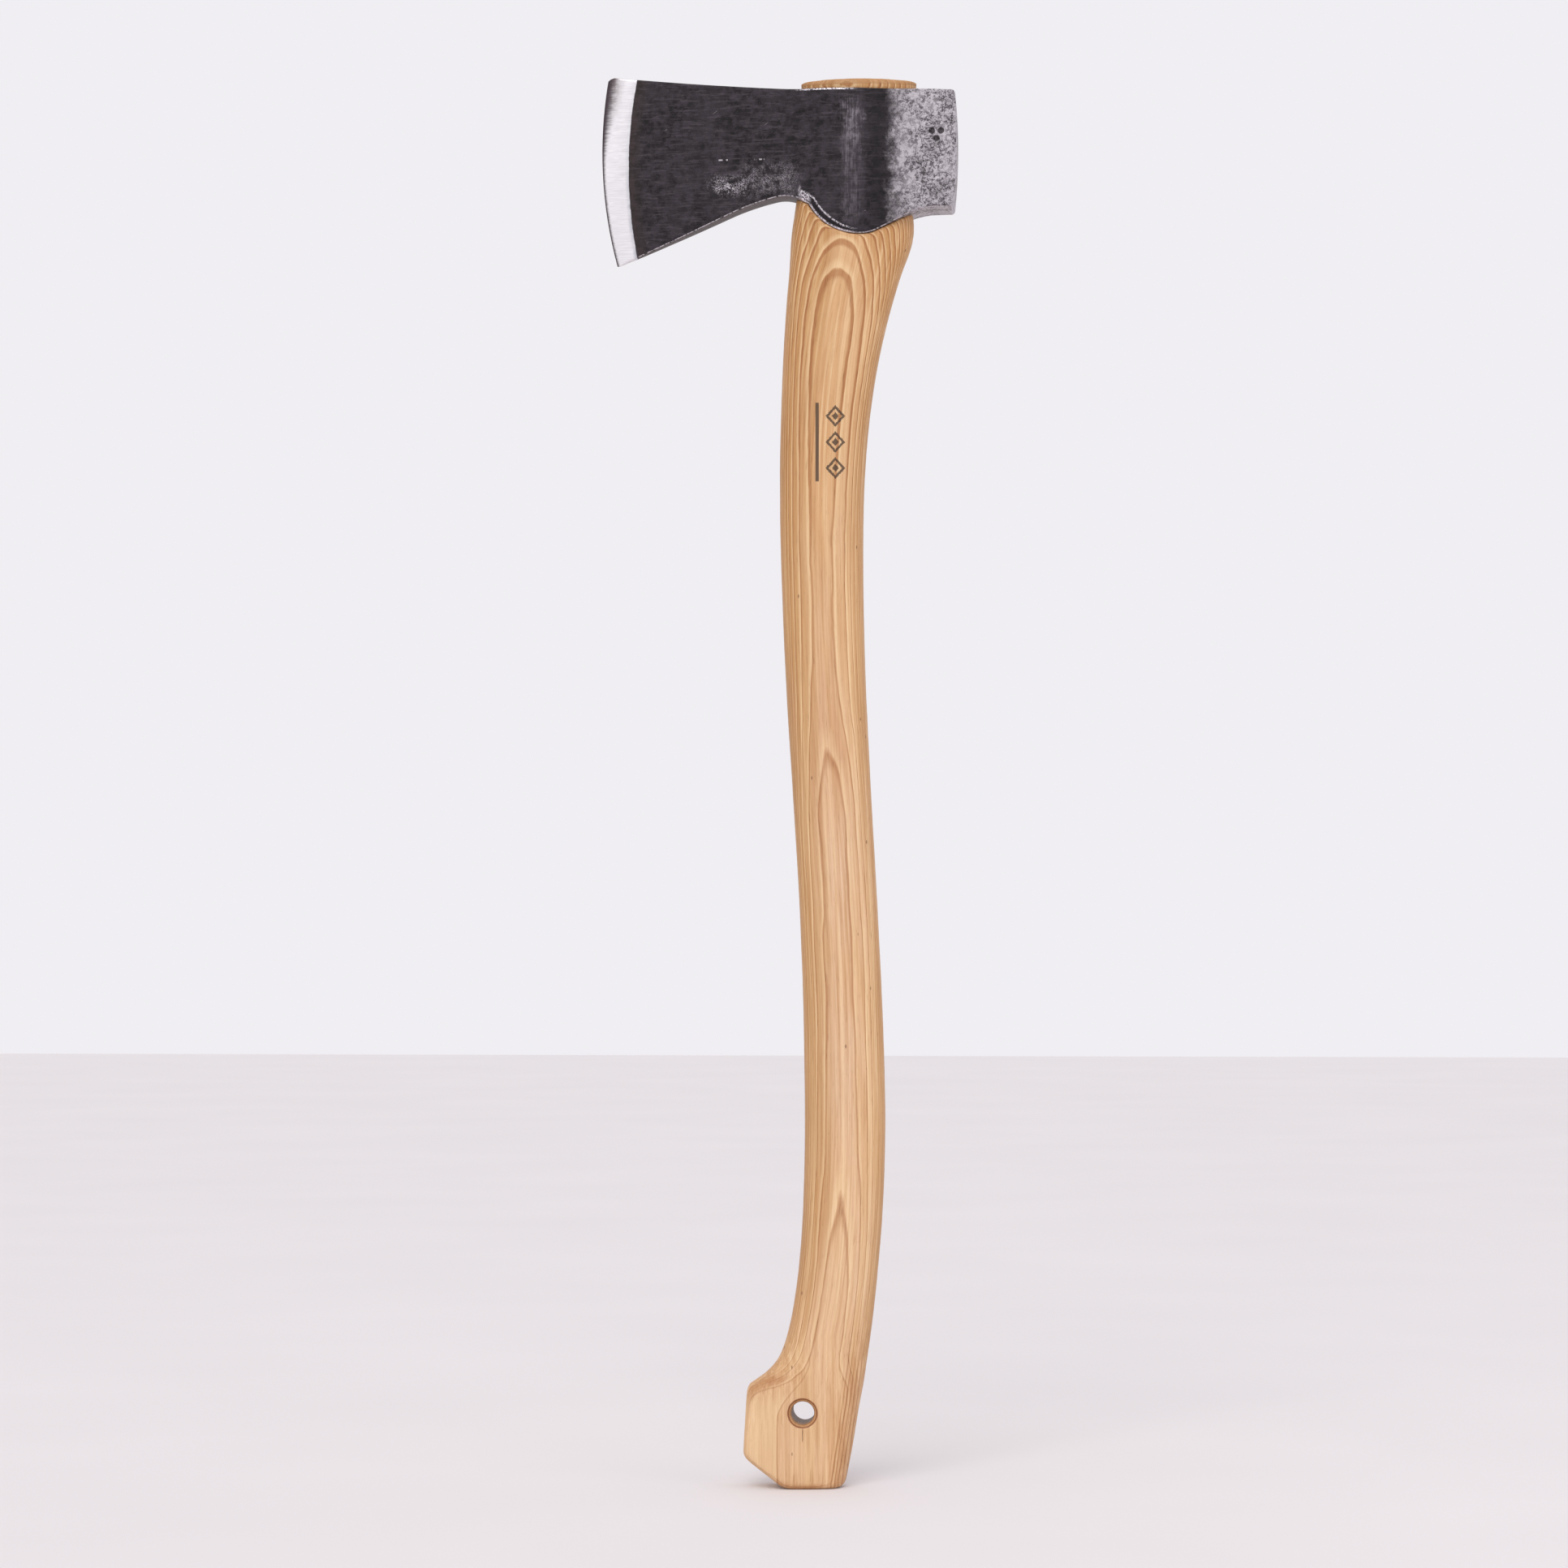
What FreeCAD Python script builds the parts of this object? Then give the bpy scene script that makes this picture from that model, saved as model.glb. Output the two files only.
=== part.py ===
import FreeCAD, Part
import math
import os
import Sketcher

# Single-bit felling axe, standing on the flat butt of its haft.
# +X runs from the cutting edge to the poll, +Y across the axe, +Z up the haft. The origin is the
# middle of the flat butt. Every size is in millimetres.

SHEET = "sizes"

# Slack when an edge is picked by where it lies.
NEAR = 0.5

# An edge on one side of the axe stays at least this far from the middle plane.
OFF_MIDDLE = 1.0

# Haft sections from the knob up: height, front, back, thickness, nose radius. The lowest ones run
# wider than the knob, which is then cut from them.
HAFT_STATIONS = [
    (-8.0, -62.0, 15.9, 28.0, 11.5),
    (12.0, -59.0, 19.3, 28.0, 11.5),
    (36.0, -52.0, 23.5, 28.0, 11.5),
    (50.0, -42.8, 26.0, 28.0, 11.5),
    (58.0, -34.8, 27.5, 28.0, 11.5),
    (65.0, -25.3, 28.6, 27.9, 11.5),
    (74.0, -18.7, 29.9, 27.8, 11.5),
    (88.0, -14.2, 31.9, 27.6, 11.5),
    (115.0, -9.5, 35.0, 27.2, 11.5),
    (170.0, -5.8, 39.0, 26.6, 11.5),
    (230.0, -5.6, 39.3, 26.2, 11.5),
    (310.0, -7.7, 36.1, 26.0, 11.5),
    (400.0, -13.0, 31.1, 26.0, 11.5),
    (480.0, -17.4, 28.0, 26.2, 11.5),
    (550.0, -19.3, 28.0, 26.6, 11.5),
    (600.0, -18.6, 31.7, 27.0, 11.5),
    (650.0, -16.3, 41.1, 27.6, 11.0),
    (679.0, -14.0, 49.7, 28.2, 10.5),
    (692.0, -13.3, 54.4, 28.4, 10.0),
    (704.0, -12.2, 56.1, 28.6, 10.0),
    (725.0, -10.2, 56.1, 28.6, 10.0),
]

# Eye sections, from below the lugs up: height, front, back, width, nose radius.
EYE_STATIONS = [
    (680.0, -5.4, 55.4, 22.0, 7.5),
    (742.0, -4.8, 55.0, 20.4, 7.5),
    (795.0, -6.7, 57.0, 23.6, 7.5),
]

# Head sections from the beard up: height, share of the full thickness.
HEAD_LEVELS = [
    (670.0, 0.965),
    (705.0, 0.99),
    (740.0, 1.0),
    (770.0, 0.99),
    (800.0, 0.965),
]

# One side of the head seen from above, behind the bevel: name, distance along the head, half
# thickness, radius of the arc that follows.
# In every outline a radius of 0 is a straight line, a positive one bulges out of what is kept and
# a negative one hollows it.
HEAD_PLAN = [
    ("cheek", -13.0, 10.0, 88.0),
    ("bulge", 33.0, 14.9, -45.0),
    ("waist", 50.0, 14.2, 200.0),
    ("poll_side", 90.0, 14.6, 0.0),
]

# Side outline of the head, run with the metal on the left: name, across, up, radius that follows.
HEAD_OUTLINE = [
    ("toe", -112.6, 789.9, 5.5),
    ("toe_round", -117.6, 785.0, 0.0),
    ("toe_clear", -130.0, 785.0, 0.0),
    ("heel_clear", -130.0, 683.2, 0.0),
    ("heel", -109.6, 683.2, 2400.0),
    ("beard", -45.0, 711.9, -137.0),
    ("hollow", -21.0, 720.0, -20.3),
    ("notch", -7.2, 718.5, 0.0),
    ("lug_start", -2.6, 716.0, 31.7),
    ("lug_low", 26.1, 698.6, 18.7),
    ("lug_turn", 35.0, 700.4, 0.0),
    ("lug_rise", 51.6, 708.7, -39.1),
    ("poll_heel", 68.0, 712.8, 0.0),
    ("poll_low", 78.7, 712.9, 334.0),
    ("poll_high", 79.3, 778.6, 2300.0),
    ("crown", -8.0, 780.4, -1800.0),
]

# Frame round the head outline: everything between the two is cut off the lofted head.
HEAD_FRAME = [
    ("frame_low_front", -150.0, 640.0, 0.0),
    ("frame_low_back", 120.0, 640.0, 0.0),
    ("frame_high_back", 120.0, 830.0, 0.0),
    ("frame_high_front", -150.0, 830.0, 0.0),
]

# Waste round the knob and under the butt, run with the wood on the left.
KNOB_WASTE = [
    ("knob_top", -36.9, 62.0, 0.0),
    ("knob_front", -39.0, 20.2, 8.0),
    ("knob_chin", -36.0, 15.3, 0.0),
    ("butt_chin", -19.6, 2.45, 11.6),
    ("butt_front", -12.5, 0.0, 0.0),
    ("butt_back", 12.0, 0.0, 7.5),
    ("butt_heel", 19.4, 6.4, 0.0),
    ("waste_back", 60.0, 6.4, 0.0),
    ("waste_back_low", 60.0, -20.0, 0.0),
    ("waste_front_low", -90.0, -20.0, 0.0),
    ("waste_front", -90.0, 62.0, 0.0),
]

# Waste over the domed top of the tongue, run with the wood on the left.
TONGUE_WASTE = [
    ("tongue_back", 60.0, 784.8, 600.0),
    ("tongue_front", -9.5, 785.0, 0.0),
    ("tongue_clear_front", -20.0, 785.0, 0.0),
    ("tongue_clear_high", -20.0, 810.0, 0.0),
    ("tongue_clear_back", 75.0, 810.0, 0.0),
    ("tongue_clear_low", 75.0, 784.8, 0.0),
]

DRIVING_SIZES = {
    "edge_radius": 244.7,
    "edge_centre_across": 125.1,
    "edge_centre_up": 747.8,
    "edge_half_width": 0.15,
    "bevel_radius": 264.0,
    "bevel_centre_across": 159.6,
    "bevel_centre_up": 738.4,
    "bevel_half_width": 2.9,
    "bevel_bow": 90.0,
    "blade_bow": 2500.0,
    "poll_chamfer": 1.8,
    "tongue_spread": 1.0,
    "tongue_root": 708.0,
    "side_stand_off": 50.0,
    "hole_radius": 6.4,
    "hole_across": -5.9,
    "hole_up": 42.3,
    "hole_chamfer": 1.8,
    "knob_easing": 1.5,
    "wedge_bottom_width": 1.2,
    "wedge_bottom_up": 734.0,
    "wedge_top_width": 7.4,
    "wedge_top_up": 795.0,
    "wedge_across": 25.0,
    "wedge_length": 90.0,
    "kerf_width": 2.0,
    "kerf_bottom_up": 729.0,
    "spike_across": 21.8,
    "spike_top_up": 786.3,
    "spike_bottom_up": 761.0,
    "spike_leg": 7.5,
    "spike_top_width": 2.4,
    "spike_bottom_width": 0.8,
}


class Size:
    """A number and the sheet expression that gives it, kept together through sums."""

    def __init__(self, number, words):
        self.number = number
        self.words = words

    def __add__(self, other):
        return Size(self.number + other.number, "(%s + %s)" % (self.words, other.words))

    def __sub__(self, other):
        return Size(self.number - other.number, "(%s - %s)" % (self.words, other.words))

    def __mul__(self, other):
        return Size(self.number * other.number, "(%s * %s)" % (self.words, other.words))

    def __truediv__(self, other):
        return Size(self.number / other.number, "(%s / %s)" % (self.words, other.words))

    def __neg__(self):
        return Size(-self.number, "(0 - %s)" % self.words)

    def root(self):
        return Size(math.sqrt(self.number), "sqrt(%s)" % self.words)


def plain(number):
    """A bare number, such as the 2 of a half."""
    return Size(number, repr(number))


def all_sizes():
    """Gather every driving size under the alias it has in the sheet."""
    sizes = dict(DRIVING_SIZES)
    for kind, stations in (("haft", HAFT_STATIONS), ("eye", EYE_STATIONS)):
        for number, station in enumerate(stations):
            for word, value in zip(("up", "front", "back", "width", "nose"), station):
                sizes["%s_%s_%02d" % (kind, word, number)] = value
    for number, (up, share) in enumerate(HEAD_LEVELS):
        sizes["head_up_%02d" % number] = up
        sizes["head_share_%02d" % number] = share
    for outline in (HEAD_PLAN, HEAD_OUTLINE, HEAD_FRAME, KNOB_WASTE, TONGUE_WASTE):
        for name, across, away, bow in outline:
            sizes[name + "_across"] = across
            sizes[name + "_away"] = away
            if bow:
                sizes[name + "_bow"] = abs(bow)
    return sizes


SIZES = all_sizes()


def size(alias):
    """Look a driving size up in the sheet."""
    return Size(SIZES[alias], SHEET + "." + alias)


def fill_sheet(doc):
    """Write every driving size into the spreadsheet, one aliased cell each."""
    sheet = doc.addObject("Spreadsheet::Sheet", SHEET)
    for row, (alias, value) in enumerate(SIZES.items(), start=1):
        sheet.set("A%d" % row, alias)
        sheet.set("B%d" % row, str(value))
        sheet.setAlias("B%d" % row, alias)
    doc.recompute()


def new_body(doc, label):
    """Start a part body; its label is the name of the piece."""
    body = doc.addObject("PartDesign::Body", label)
    body.Label = label
    return body


def new_sketch(body, name, plane, offset=None):
    """Lay an empty sketch on one of the body's own origin planes, or at an offset from it."""
    sketch = body.newObject("Sketcher::SketchObject", name)
    for feature in body.Origin.OriginFeatures:
        if feature.Role == plane:
            sketch.AttachmentSupport = (feature, [""])
    sketch.MapMode = "FlatFace"
    if offset:
        sketch.setExpression("AttachmentOffset.Base.z", offset.words)
    return sketch


def hold(sketch, kind, places, length):
    """Add a sizing constraint and bind it to the sheet."""
    index = sketch.addConstraint(Sketcher.Constraint(kind, *places, length.number))
    sketch.setExpression("Constraints[%d]" % index, length.words)


def pin(sketch, edge, end, across, away):
    """Hold one end of a sketch edge at a point measured from the sketch's origin."""
    hold(sketch, "DistanceX", (-1, 1, edge, end), across)
    hold(sketch, "DistanceY", (-1, 1, edge, end), away)


def draw_arc(sketch, begin, finish, bow):
    """Draw an arc between two points, its centre on the left when bow is positive."""
    along = finish - begin
    half = along.Length / 2
    left = FreeCAD.Vector(-along.y, along.x, 0).normalize()
    reach = math.sqrt(bow * bow - half * half)
    centre = (begin + finish) * 0.5 + left * math.copysign(reach, bow)
    first, last = (begin, finish) if bow > 0 else (finish, begin)
    first_angle = math.atan2(first.y - centre.y, first.x - centre.x)
    last_angle = math.atan2(last.y - centre.y, last.x - centre.x)
    circle = Part.Circle(centre, FreeCAD.Vector(0, 0, 1), abs(bow))
    return sketch.addGeometry(Part.ArcOfCircle(circle, first_angle, last_angle))


def draw_outline(sketch, corners):
    """Draw a closed outline of lines and arcs; a corner is (across, away, bow), bow None if straight."""
    points = [FreeCAD.Vector(across.number, away.number, 0) for across, away, bow in corners]
    ends = []
    for number, (across, away, bow) in enumerate(corners):
        begin = points[number]
        finish = points[(number + 1) % len(points)]
        if bow is None:
            edge = sketch.addGeometry(Part.LineSegment(begin, finish))
            ends.append((edge, 1, 2))
        else:
            edge = draw_arc(sketch, begin, finish, bow.number)
            ends.append((edge, 1, 2) if bow.number > 0 else (edge, 2, 1))
            radius = bow if bow.number > 0 else -bow
            hold(sketch, "Radius", (edge,), radius)
    for number, (edge, begin, finish) in enumerate(ends):
        next_edge, next_begin, next_finish = ends[(number + 1) % len(ends)]
        sketch.addConstraint(Sketcher.Constraint("Coincident", edge, finish, next_edge, next_begin))
        pin(sketch, edge, begin, corners[number][0], corners[number][1])


def named_corners(outline):
    """Turn the rows of an outline into corners bound to the sheet."""
    corners = []
    for name, across, away, bow in outline:
        radius = None
        if bow:
            radius = size(name + "_bow")
            if bow < 0:
                radius = -radius
        corners.append((size(name + "_across"), size(name + "_away"), radius))
    return corners


def draw_oval(sketch, front, back, width, nose):
    """Draw an oval of two nose arcs and two cheek arcs, all tangent."""
    half_length = (back - front) / plain(2)
    half_width = width / plain(2)
    lead = half_length - nose
    cheek = (lead * lead + half_width * half_width - nose * nose) / (plain(2) * (half_width - nose))
    middle = (front.number + back.number) / 2
    drop = cheek.number - half_width.number
    turn = math.atan2(drop, lead.number)
    arcs = [
        (back.number - nose.number, 0.0, nose.number, -turn, turn),
        (middle, -drop, cheek.number, turn, math.pi - turn),
        (front.number + nose.number, 0.0, nose.number, math.pi - turn, math.pi + turn),
        (middle, drop, cheek.number, math.pi + turn, 2 * math.pi - turn),
    ]
    for across, away, radius, first_angle, last_angle in arcs:
        circle = Part.Circle(FreeCAD.Vector(across, away, 0), FreeCAD.Vector(0, 0, 1), radius)
        sketch.addGeometry(Part.ArcOfCircle(circle, first_angle, last_angle))
    for edge in range(4):
        sketch.addConstraint(Sketcher.Constraint("Tangent", edge, 2, (edge + 1) % 4, 1))
    for edge in (0, 2):
        sketch.addConstraint(Sketcher.Constraint("PointOnObject", edge, 3, -1))
        hold(sketch, "Radius", (edge,), nose)
        hold(sketch, "Radius", (edge + 1,), cheek)
    hold(sketch, "DistanceX", (-1, 1, 0, 3), back - nose)
    hold(sketch, "DistanceX", (-1, 1, 2, 3), front + nose)


def loft(body, kind, name, sections):
    """Loft smoothly through sections, adding to the body or cutting it."""
    feature = body.newObject("PartDesign::" + kind, name)
    feature.Profile = sections[0]
    feature.Sections = sections[1:]
    feature.Refine = False
    return feature


def side_sketch(body, name):
    """Lay a side-view sketch clear of the body, for a cut that runs right across it."""
    return new_sketch(body, name, "XZ_Plane", size("side_stand_off"))


def cut_through(body, name, sketch):
    """Cut a side-view sketch right through the body."""
    body.Document.recompute()
    before = body.Shape.Volume
    pocket = body.newObject("PartDesign::Pocket", name)
    pocket.Profile = sketch
    pocket.Type = "ThroughAll"
    pocket.Refine = False
    body.Document.recompute()
    if body.Shape.Volume >= before - NEAR:
        raise RuntimeError(name + " cut nothing")


def chamfer(body, name, edges, length):
    """Chamfer some edges of the body's last feature."""
    base = body.Tip
    feature = body.newObject("PartDesign::Chamfer", name)
    feature.Base = (base, edges)
    feature.setExpression("Size", length.words)
    body.Document.recompute()


def on_one_side(box):
    """Whether a box lies wholly on one side of the axe's middle plane."""
    return box.YMin > OFF_MIDDLE or box.YMax < -OFF_MIDDLE


def edge_names(body, wanted):
    """Name the edges of the body's last feature that a test picks."""
    names = []
    for number, edge in enumerate(body.Tip.Shape.Edges, start=1):
        if wanted(edge):
            names.append("Edge%d" % number)
    return names


def station_sketches(body, kind, stations):
    """One oval sketch for each station of the haft or the eye."""
    sketches = []
    for number in range(len(stations)):
        tail = "_%02d" % number
        sketch = new_sketch(body, kind + "_section" + tail, "XY_Plane", size(kind + "_up" + tail))
        draw_oval(
            sketch,
            size(kind + "_front" + tail),
            size(kind + "_back" + tail),
            size(kind + "_width" + tail),
            size(kind + "_nose" + tail),
        )
        sketches.append(sketch)
    return sketches


def arc_across(kind, up):
    """Where the edge arc or the bevel arc lies at a height."""
    radius = size(kind + "_radius")
    rise = up - size(kind + "_centre_up")
    return size(kind + "_centre_across") - (radius * radius - rise * rise).root()


def head_section(body, number):
    """Sketch the head's section at one level: ground bevel, cheek, eye bulge, waist and poll."""
    up = size("head_up_%02d" % number)
    share = size("head_share_%02d" % number)
    side = [
        (arc_across("edge", up), size("edge_half_width"), size("bevel_bow")),
        (arc_across("bevel", up), size("bevel_half_width") * share, size("blade_bow")),
    ]
    for across, half_width, bow in named_corners(HEAD_PLAN):
        side.append((across, half_width * share, bow))
    corners = [(across, -half_width, bow) for across, half_width, bow in side]
    for place in reversed(range(len(side))):
        across, half_width, bow = side[place]
        bow_after = side[place - 1][2] if place else None
        corners.append((across, half_width, bow_after))
    sketch = new_sketch(body, "head_section_%02d" % number, "XY_Plane", up)
    draw_outline(sketch, corners)
    return sketch


def make_head(doc):
    """Forge the head: loft, trim to the side outline, punch the eye and ease the poll's face."""
    body = new_body(doc, "axe_head")
    sections = [head_section(body, number) for number in range(len(HEAD_LEVELS))]
    loft(body, "AdditiveLoft", "forging", sections)
    outline = side_sketch(body, "side_outline")
    draw_outline(outline, named_corners(HEAD_FRAME))
    draw_outline(outline, named_corners(HEAD_OUTLINE))
    cut_through(body, "trim", outline)
    poll_end = size("poll_low_across").number - NEAR
    poll_edges = edge_names(body, lambda edge: edge.BoundBox.XMin > poll_end)
    chamfer(body, "poll_easing", poll_edges, size("poll_chamfer"))
    before = body.Shape.Volume
    loft(body, "SubtractiveLoft", "eye", station_sketches(body, "eye", EYE_STATIONS))
    doc.recompute()
    if body.Shape.Volume >= before:
        raise RuntimeError("the eye cut nothing")
    return body


def tongue_sketches(body):
    """Sections of the tongue: the eye's own, spread a little all round except at its root."""
    sketches = []
    for number in range(len(EYE_STATIONS)):
        tail = "_%02d" % number
        up = size("eye_up" + tail) if number else size("tongue_root")
        spread = size("tongue_spread") if number else plain(0)
        sketch = new_sketch(body, "tongue_section" + tail, "XY_Plane", up)
        draw_oval(
            sketch,
            size("eye_front" + tail) - spread,
            size("eye_back" + tail) + spread,
            size("eye_width" + tail) + spread + spread,
            size("eye_nose" + tail) + spread,
        )
        sketches.append(sketch)
    return sketches


def make_haft_blank(doc):
    """Shape the haft before it is fitted to the head: handle, knob, hanging hole and tongue."""
    body = new_body(doc, "haft_blank")
    loft(body, "AdditiveLoft", "handle", station_sketches(body, "haft", HAFT_STATIONS))
    knob = side_sketch(body, "knob_waste")
    draw_outline(knob, named_corners(KNOB_WASTE))
    cut_through(body, "knob_cut", knob)
    ease_knob(body)
    drill_hanging_hole(body)
    loft(body, "AdditiveLoft", "tongue", tongue_sketches(body))
    top = side_sketch(body, "tongue_waste")
    draw_outline(top, named_corners(TONGUE_WASTE))
    cut_through(body, "tongue_cut", top)
    return body


def ease_knob(body):
    """Chamfer the sharp edges that the knob's cuts leave down both of its sides."""
    front = size("knob_front_across").number - NEAR
    back = size("butt_heel_across").number + NEAR
    top = size("knob_top_away").number

    def on_the_rim(edge):
        box = edge.optimalBoundingBox()
        in_knob = box.ZMax < top and box.XMin > front and box.XMax < back
        return in_knob and on_one_side(box)

    chamfer(body, "knob_rim", edge_names(body, on_the_rim), size("knob_easing"))


def drill_hanging_hole(body):
    """Drill the hanging hole across the knob and chamfer both its mouths."""
    hole = side_sketch(body, "hole_circle")
    centre = FreeCAD.Vector(SIZES["hole_across"], SIZES["hole_up"], 0)
    hole.addGeometry(Part.Circle(centre, FreeCAD.Vector(0, 0, 1), SIZES["hole_radius"]))
    pin(hole, 0, 3, size("hole_across"), size("hole_up"))
    hold(hole, "Radius", (0,), size("hole_radius"))
    cut_through(body, "hanging_hole", hole)
    reach = SIZES["hole_radius"] + NEAR

    def at_a_mouth(edge):
        box = edge.optimalBoundingBox()
        across = abs((box.XMin + box.XMax) / 2 - centre.x) < reach and box.XLength < 2 * reach
        away = abs((box.ZMin + box.ZMax) / 2 - centre.y) < reach and box.ZLength < 2 * reach
        return across and away and on_one_side(box)

    chamfer(body, "hole_mouths", edge_names(body, at_a_mouth), size("hole_chamfer"))


def make_wedge_blank(doc):
    """A tapered bar along the tongue: the wooden wedge before it is trimmed to the eye."""
    body = new_body(doc, "wedge_blank")
    sketch = new_sketch(body, "wedge_taper", "YZ_Plane", size("wedge_across"))
    half_bottom = size("wedge_bottom_width") / plain(2)
    half_top = size("wedge_top_width") / plain(2)
    corners = [
        (-half_bottom, size("wedge_bottom_up"), None),
        (half_bottom, size("wedge_bottom_up"), None),
        (half_top, size("wedge_top_up"), None),
        (-half_top, size("wedge_top_up"), None),
    ]
    draw_outline(sketch, corners)
    bar = body.newObject("PartDesign::Pad", "wedge_bar")
    bar.Profile = sketch
    bar.setExpression("Length", size("wedge_length").words)
    bar.SideType = "Symmetric"
    return body


def make_kerf(doc):
    """The saw cut that the wooden wedge is driven into, a little deeper than the wedge."""
    kerf = doc.addObject("Part::Box", "kerf")
    width = size("kerf_width")
    length = size("wedge_length")
    kerf.setExpression("Length", length.words)
    kerf.setExpression("Width", width.words)
    kerf.setExpression("Height", (size("wedge_top_up") - size("kerf_bottom_up")).words)
    kerf.setExpression("Placement.Base.x", (size("wedge_across") - length / plain(2)).words)
    kerf.setExpression("Placement.Base.y", (-width / plain(2)).words)
    kerf.setExpression("Placement.Base.z", size("kerf_bottom_up").words)
    return kerf


def spike_corners(width):
    """Corners of a three-legged outline, the legs a third of a turn apart."""
    corners = []
    half = width / plain(2)
    for leg in range(3):
        angle = math.radians(90 + 120 * leg)
        between = angle + math.radians(60)
        along = (plain(math.cos(angle)), plain(math.sin(angle)))
        for side in (half, -half):
            across = size("spike_across") + size("spike_leg") * along[0] + side * along[1]
            away = size("spike_leg") * along[1] - side * along[0]
            corners.append((across, away, None))
        crotch = width / plain(math.sqrt(3))
        across = size("spike_across") + crotch * plain(math.cos(between))
        corners.append((across, crotch * plain(math.sin(between)), None))
    return corners


def make_steel_wedge(doc):
    """The three-legged steel wedge, tapering to a thin edge below."""
    body = new_body(doc, "steel_wedge")
    sections = []
    for end in ("top", "bottom"):
        sketch = new_sketch(body, "spike_" + end, "XY_Plane", size("spike_%s_up" % end))
        draw_outline(sketch, spike_corners(size("spike_%s_width" % end)))
        sections.append(sketch)
    legs = loft(body, "AdditiveLoft", "spike_legs", sections)
    legs.Ruled = True
    return body


def combine(doc, kind, name, base, tool):
    """Join two pieces with a boolean."""
    result = doc.addObject("Part::" + kind, name)
    result.Label = name
    result.Base = base
    result.Tool = tool
    return result


def make_pieces(doc):
    """Build the four pieces of the axe, each cut exactly to its neighbours."""
    head = make_head(doc)
    blank = make_haft_blank(doc)
    wedge_blank = make_wedge_blank(doc)
    spike = make_steel_wedge(doc)
    fitted = combine(doc, "Cut", "fitted_haft", blank, head)
    slotted = combine(doc, "Cut", "slotted_haft", fitted, make_kerf(doc))
    spread = combine(doc, "Cut", "spread_haft", slotted, wedge_blank)
    haft = combine(doc, "Cut", "haft", spread, spike)
    trimmed = combine(doc, "Common", "trimmed_wedge", fitted, wedge_blank)
    wedge = combine(doc, "Cut", "wooden_wedge", trimmed, spike)
    doc.recompute()
    return [head, haft, wedge, spike]


def check_document(doc, pieces):
    """Stop if any object failed or any piece isn't one valid solid."""
    for item in doc.Objects:
        if "Invalid" in item.State or "Error" in item.State:
            raise RuntimeError(item.Label + " failed to build")
    for piece in pieces:
        shape = piece.Shape
        if shape.isNull() or not shape.isValid() or len(shape.Solids) != 1:
            raise RuntimeError(piece.Label + " is not one valid solid")
        print(piece.Label, "%.1f cm3" % (shape.Volume / 1000))


def export(pieces):
    """Write each piece to its own file, named after the piece."""
    os.makedirs("parts", exist_ok=True)
    for piece in pieces:
        piece.Shape.exportStep("parts/" + piece.Label + ".step")


def main():
    doc = FreeCAD.newDocument("felling_axe")
    fill_sheet(doc)
    pieces = make_pieces(doc)
    check_document(doc, pieces)
    export(pieces)


main()
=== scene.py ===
"""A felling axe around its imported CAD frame: forged head, hickory haft, wooden wedge, steel wedge.

The axe stands on its butt with the edge towards -X, the poll towards +X and the eye at the top.
Lengths are millimetres, apart from the stage's, and meshes are written in metres.
"""

import math

import bmesh
import bpy
import numpy as np
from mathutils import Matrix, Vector, noise
from mathutils.bvhtree import BVHTree


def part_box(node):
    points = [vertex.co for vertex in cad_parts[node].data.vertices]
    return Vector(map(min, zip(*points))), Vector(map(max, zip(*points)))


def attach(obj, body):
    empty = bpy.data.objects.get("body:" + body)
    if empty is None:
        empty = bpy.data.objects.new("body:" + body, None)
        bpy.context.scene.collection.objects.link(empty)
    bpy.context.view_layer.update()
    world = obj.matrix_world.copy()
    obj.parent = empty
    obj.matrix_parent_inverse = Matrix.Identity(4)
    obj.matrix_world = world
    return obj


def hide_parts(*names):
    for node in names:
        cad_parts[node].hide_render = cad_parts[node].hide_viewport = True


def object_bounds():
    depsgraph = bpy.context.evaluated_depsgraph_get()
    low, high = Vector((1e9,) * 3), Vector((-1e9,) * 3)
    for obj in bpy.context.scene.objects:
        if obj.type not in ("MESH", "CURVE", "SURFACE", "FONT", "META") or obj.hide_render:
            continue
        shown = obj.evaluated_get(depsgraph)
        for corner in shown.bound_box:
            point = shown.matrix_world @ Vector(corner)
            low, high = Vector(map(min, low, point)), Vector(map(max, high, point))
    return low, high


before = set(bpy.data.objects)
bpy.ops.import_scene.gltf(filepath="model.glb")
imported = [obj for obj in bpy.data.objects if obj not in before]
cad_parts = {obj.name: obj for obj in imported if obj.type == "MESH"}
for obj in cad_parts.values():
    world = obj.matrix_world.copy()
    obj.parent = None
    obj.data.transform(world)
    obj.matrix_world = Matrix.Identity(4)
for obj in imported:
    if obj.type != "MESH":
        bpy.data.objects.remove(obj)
CAD_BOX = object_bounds()

MM = 0.001

# The head's two ground lines are arcs in the side view: centre across, centre up, radius.
EDGE_ARC = (125.1, 747.8, 244.7)
BEVEL_ARC = (159.6, 738.4, 264.0)

# Landmarks along the head, from the edge to the poll.
NOTCH_X = -7.0
STRAIGHT_X = -30.0
LUG_TIP_X = 26.0
POLL_SHOULDER_X = 50.0

# Radii of the head's worn rims.
EDGE_RIM = 0.25
TOP_RIM = 0.8
BEARD_RIM = 0.9
LUG_RIM = 0.7
POLL_RIM = 1.6
CORNER_RIM = 2.2

# The ground facet along the front of each lug.
FACET_WIDTH = 4.0
FACET_SLOPE = 0.5

# Hammer marks on the cheeks, on the poll and left by the grinding wheel: depth, size, seed.
CHEEK_MARKS = ((0.26, 24.0, 1), (0.12, 9.0, 2))
POLL_MARKS = ((0.16, 5.5, 3), (0.07, 2.6, 4))
GRINDING_MARKS = ((0.03, 7.0, 5),)

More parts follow.
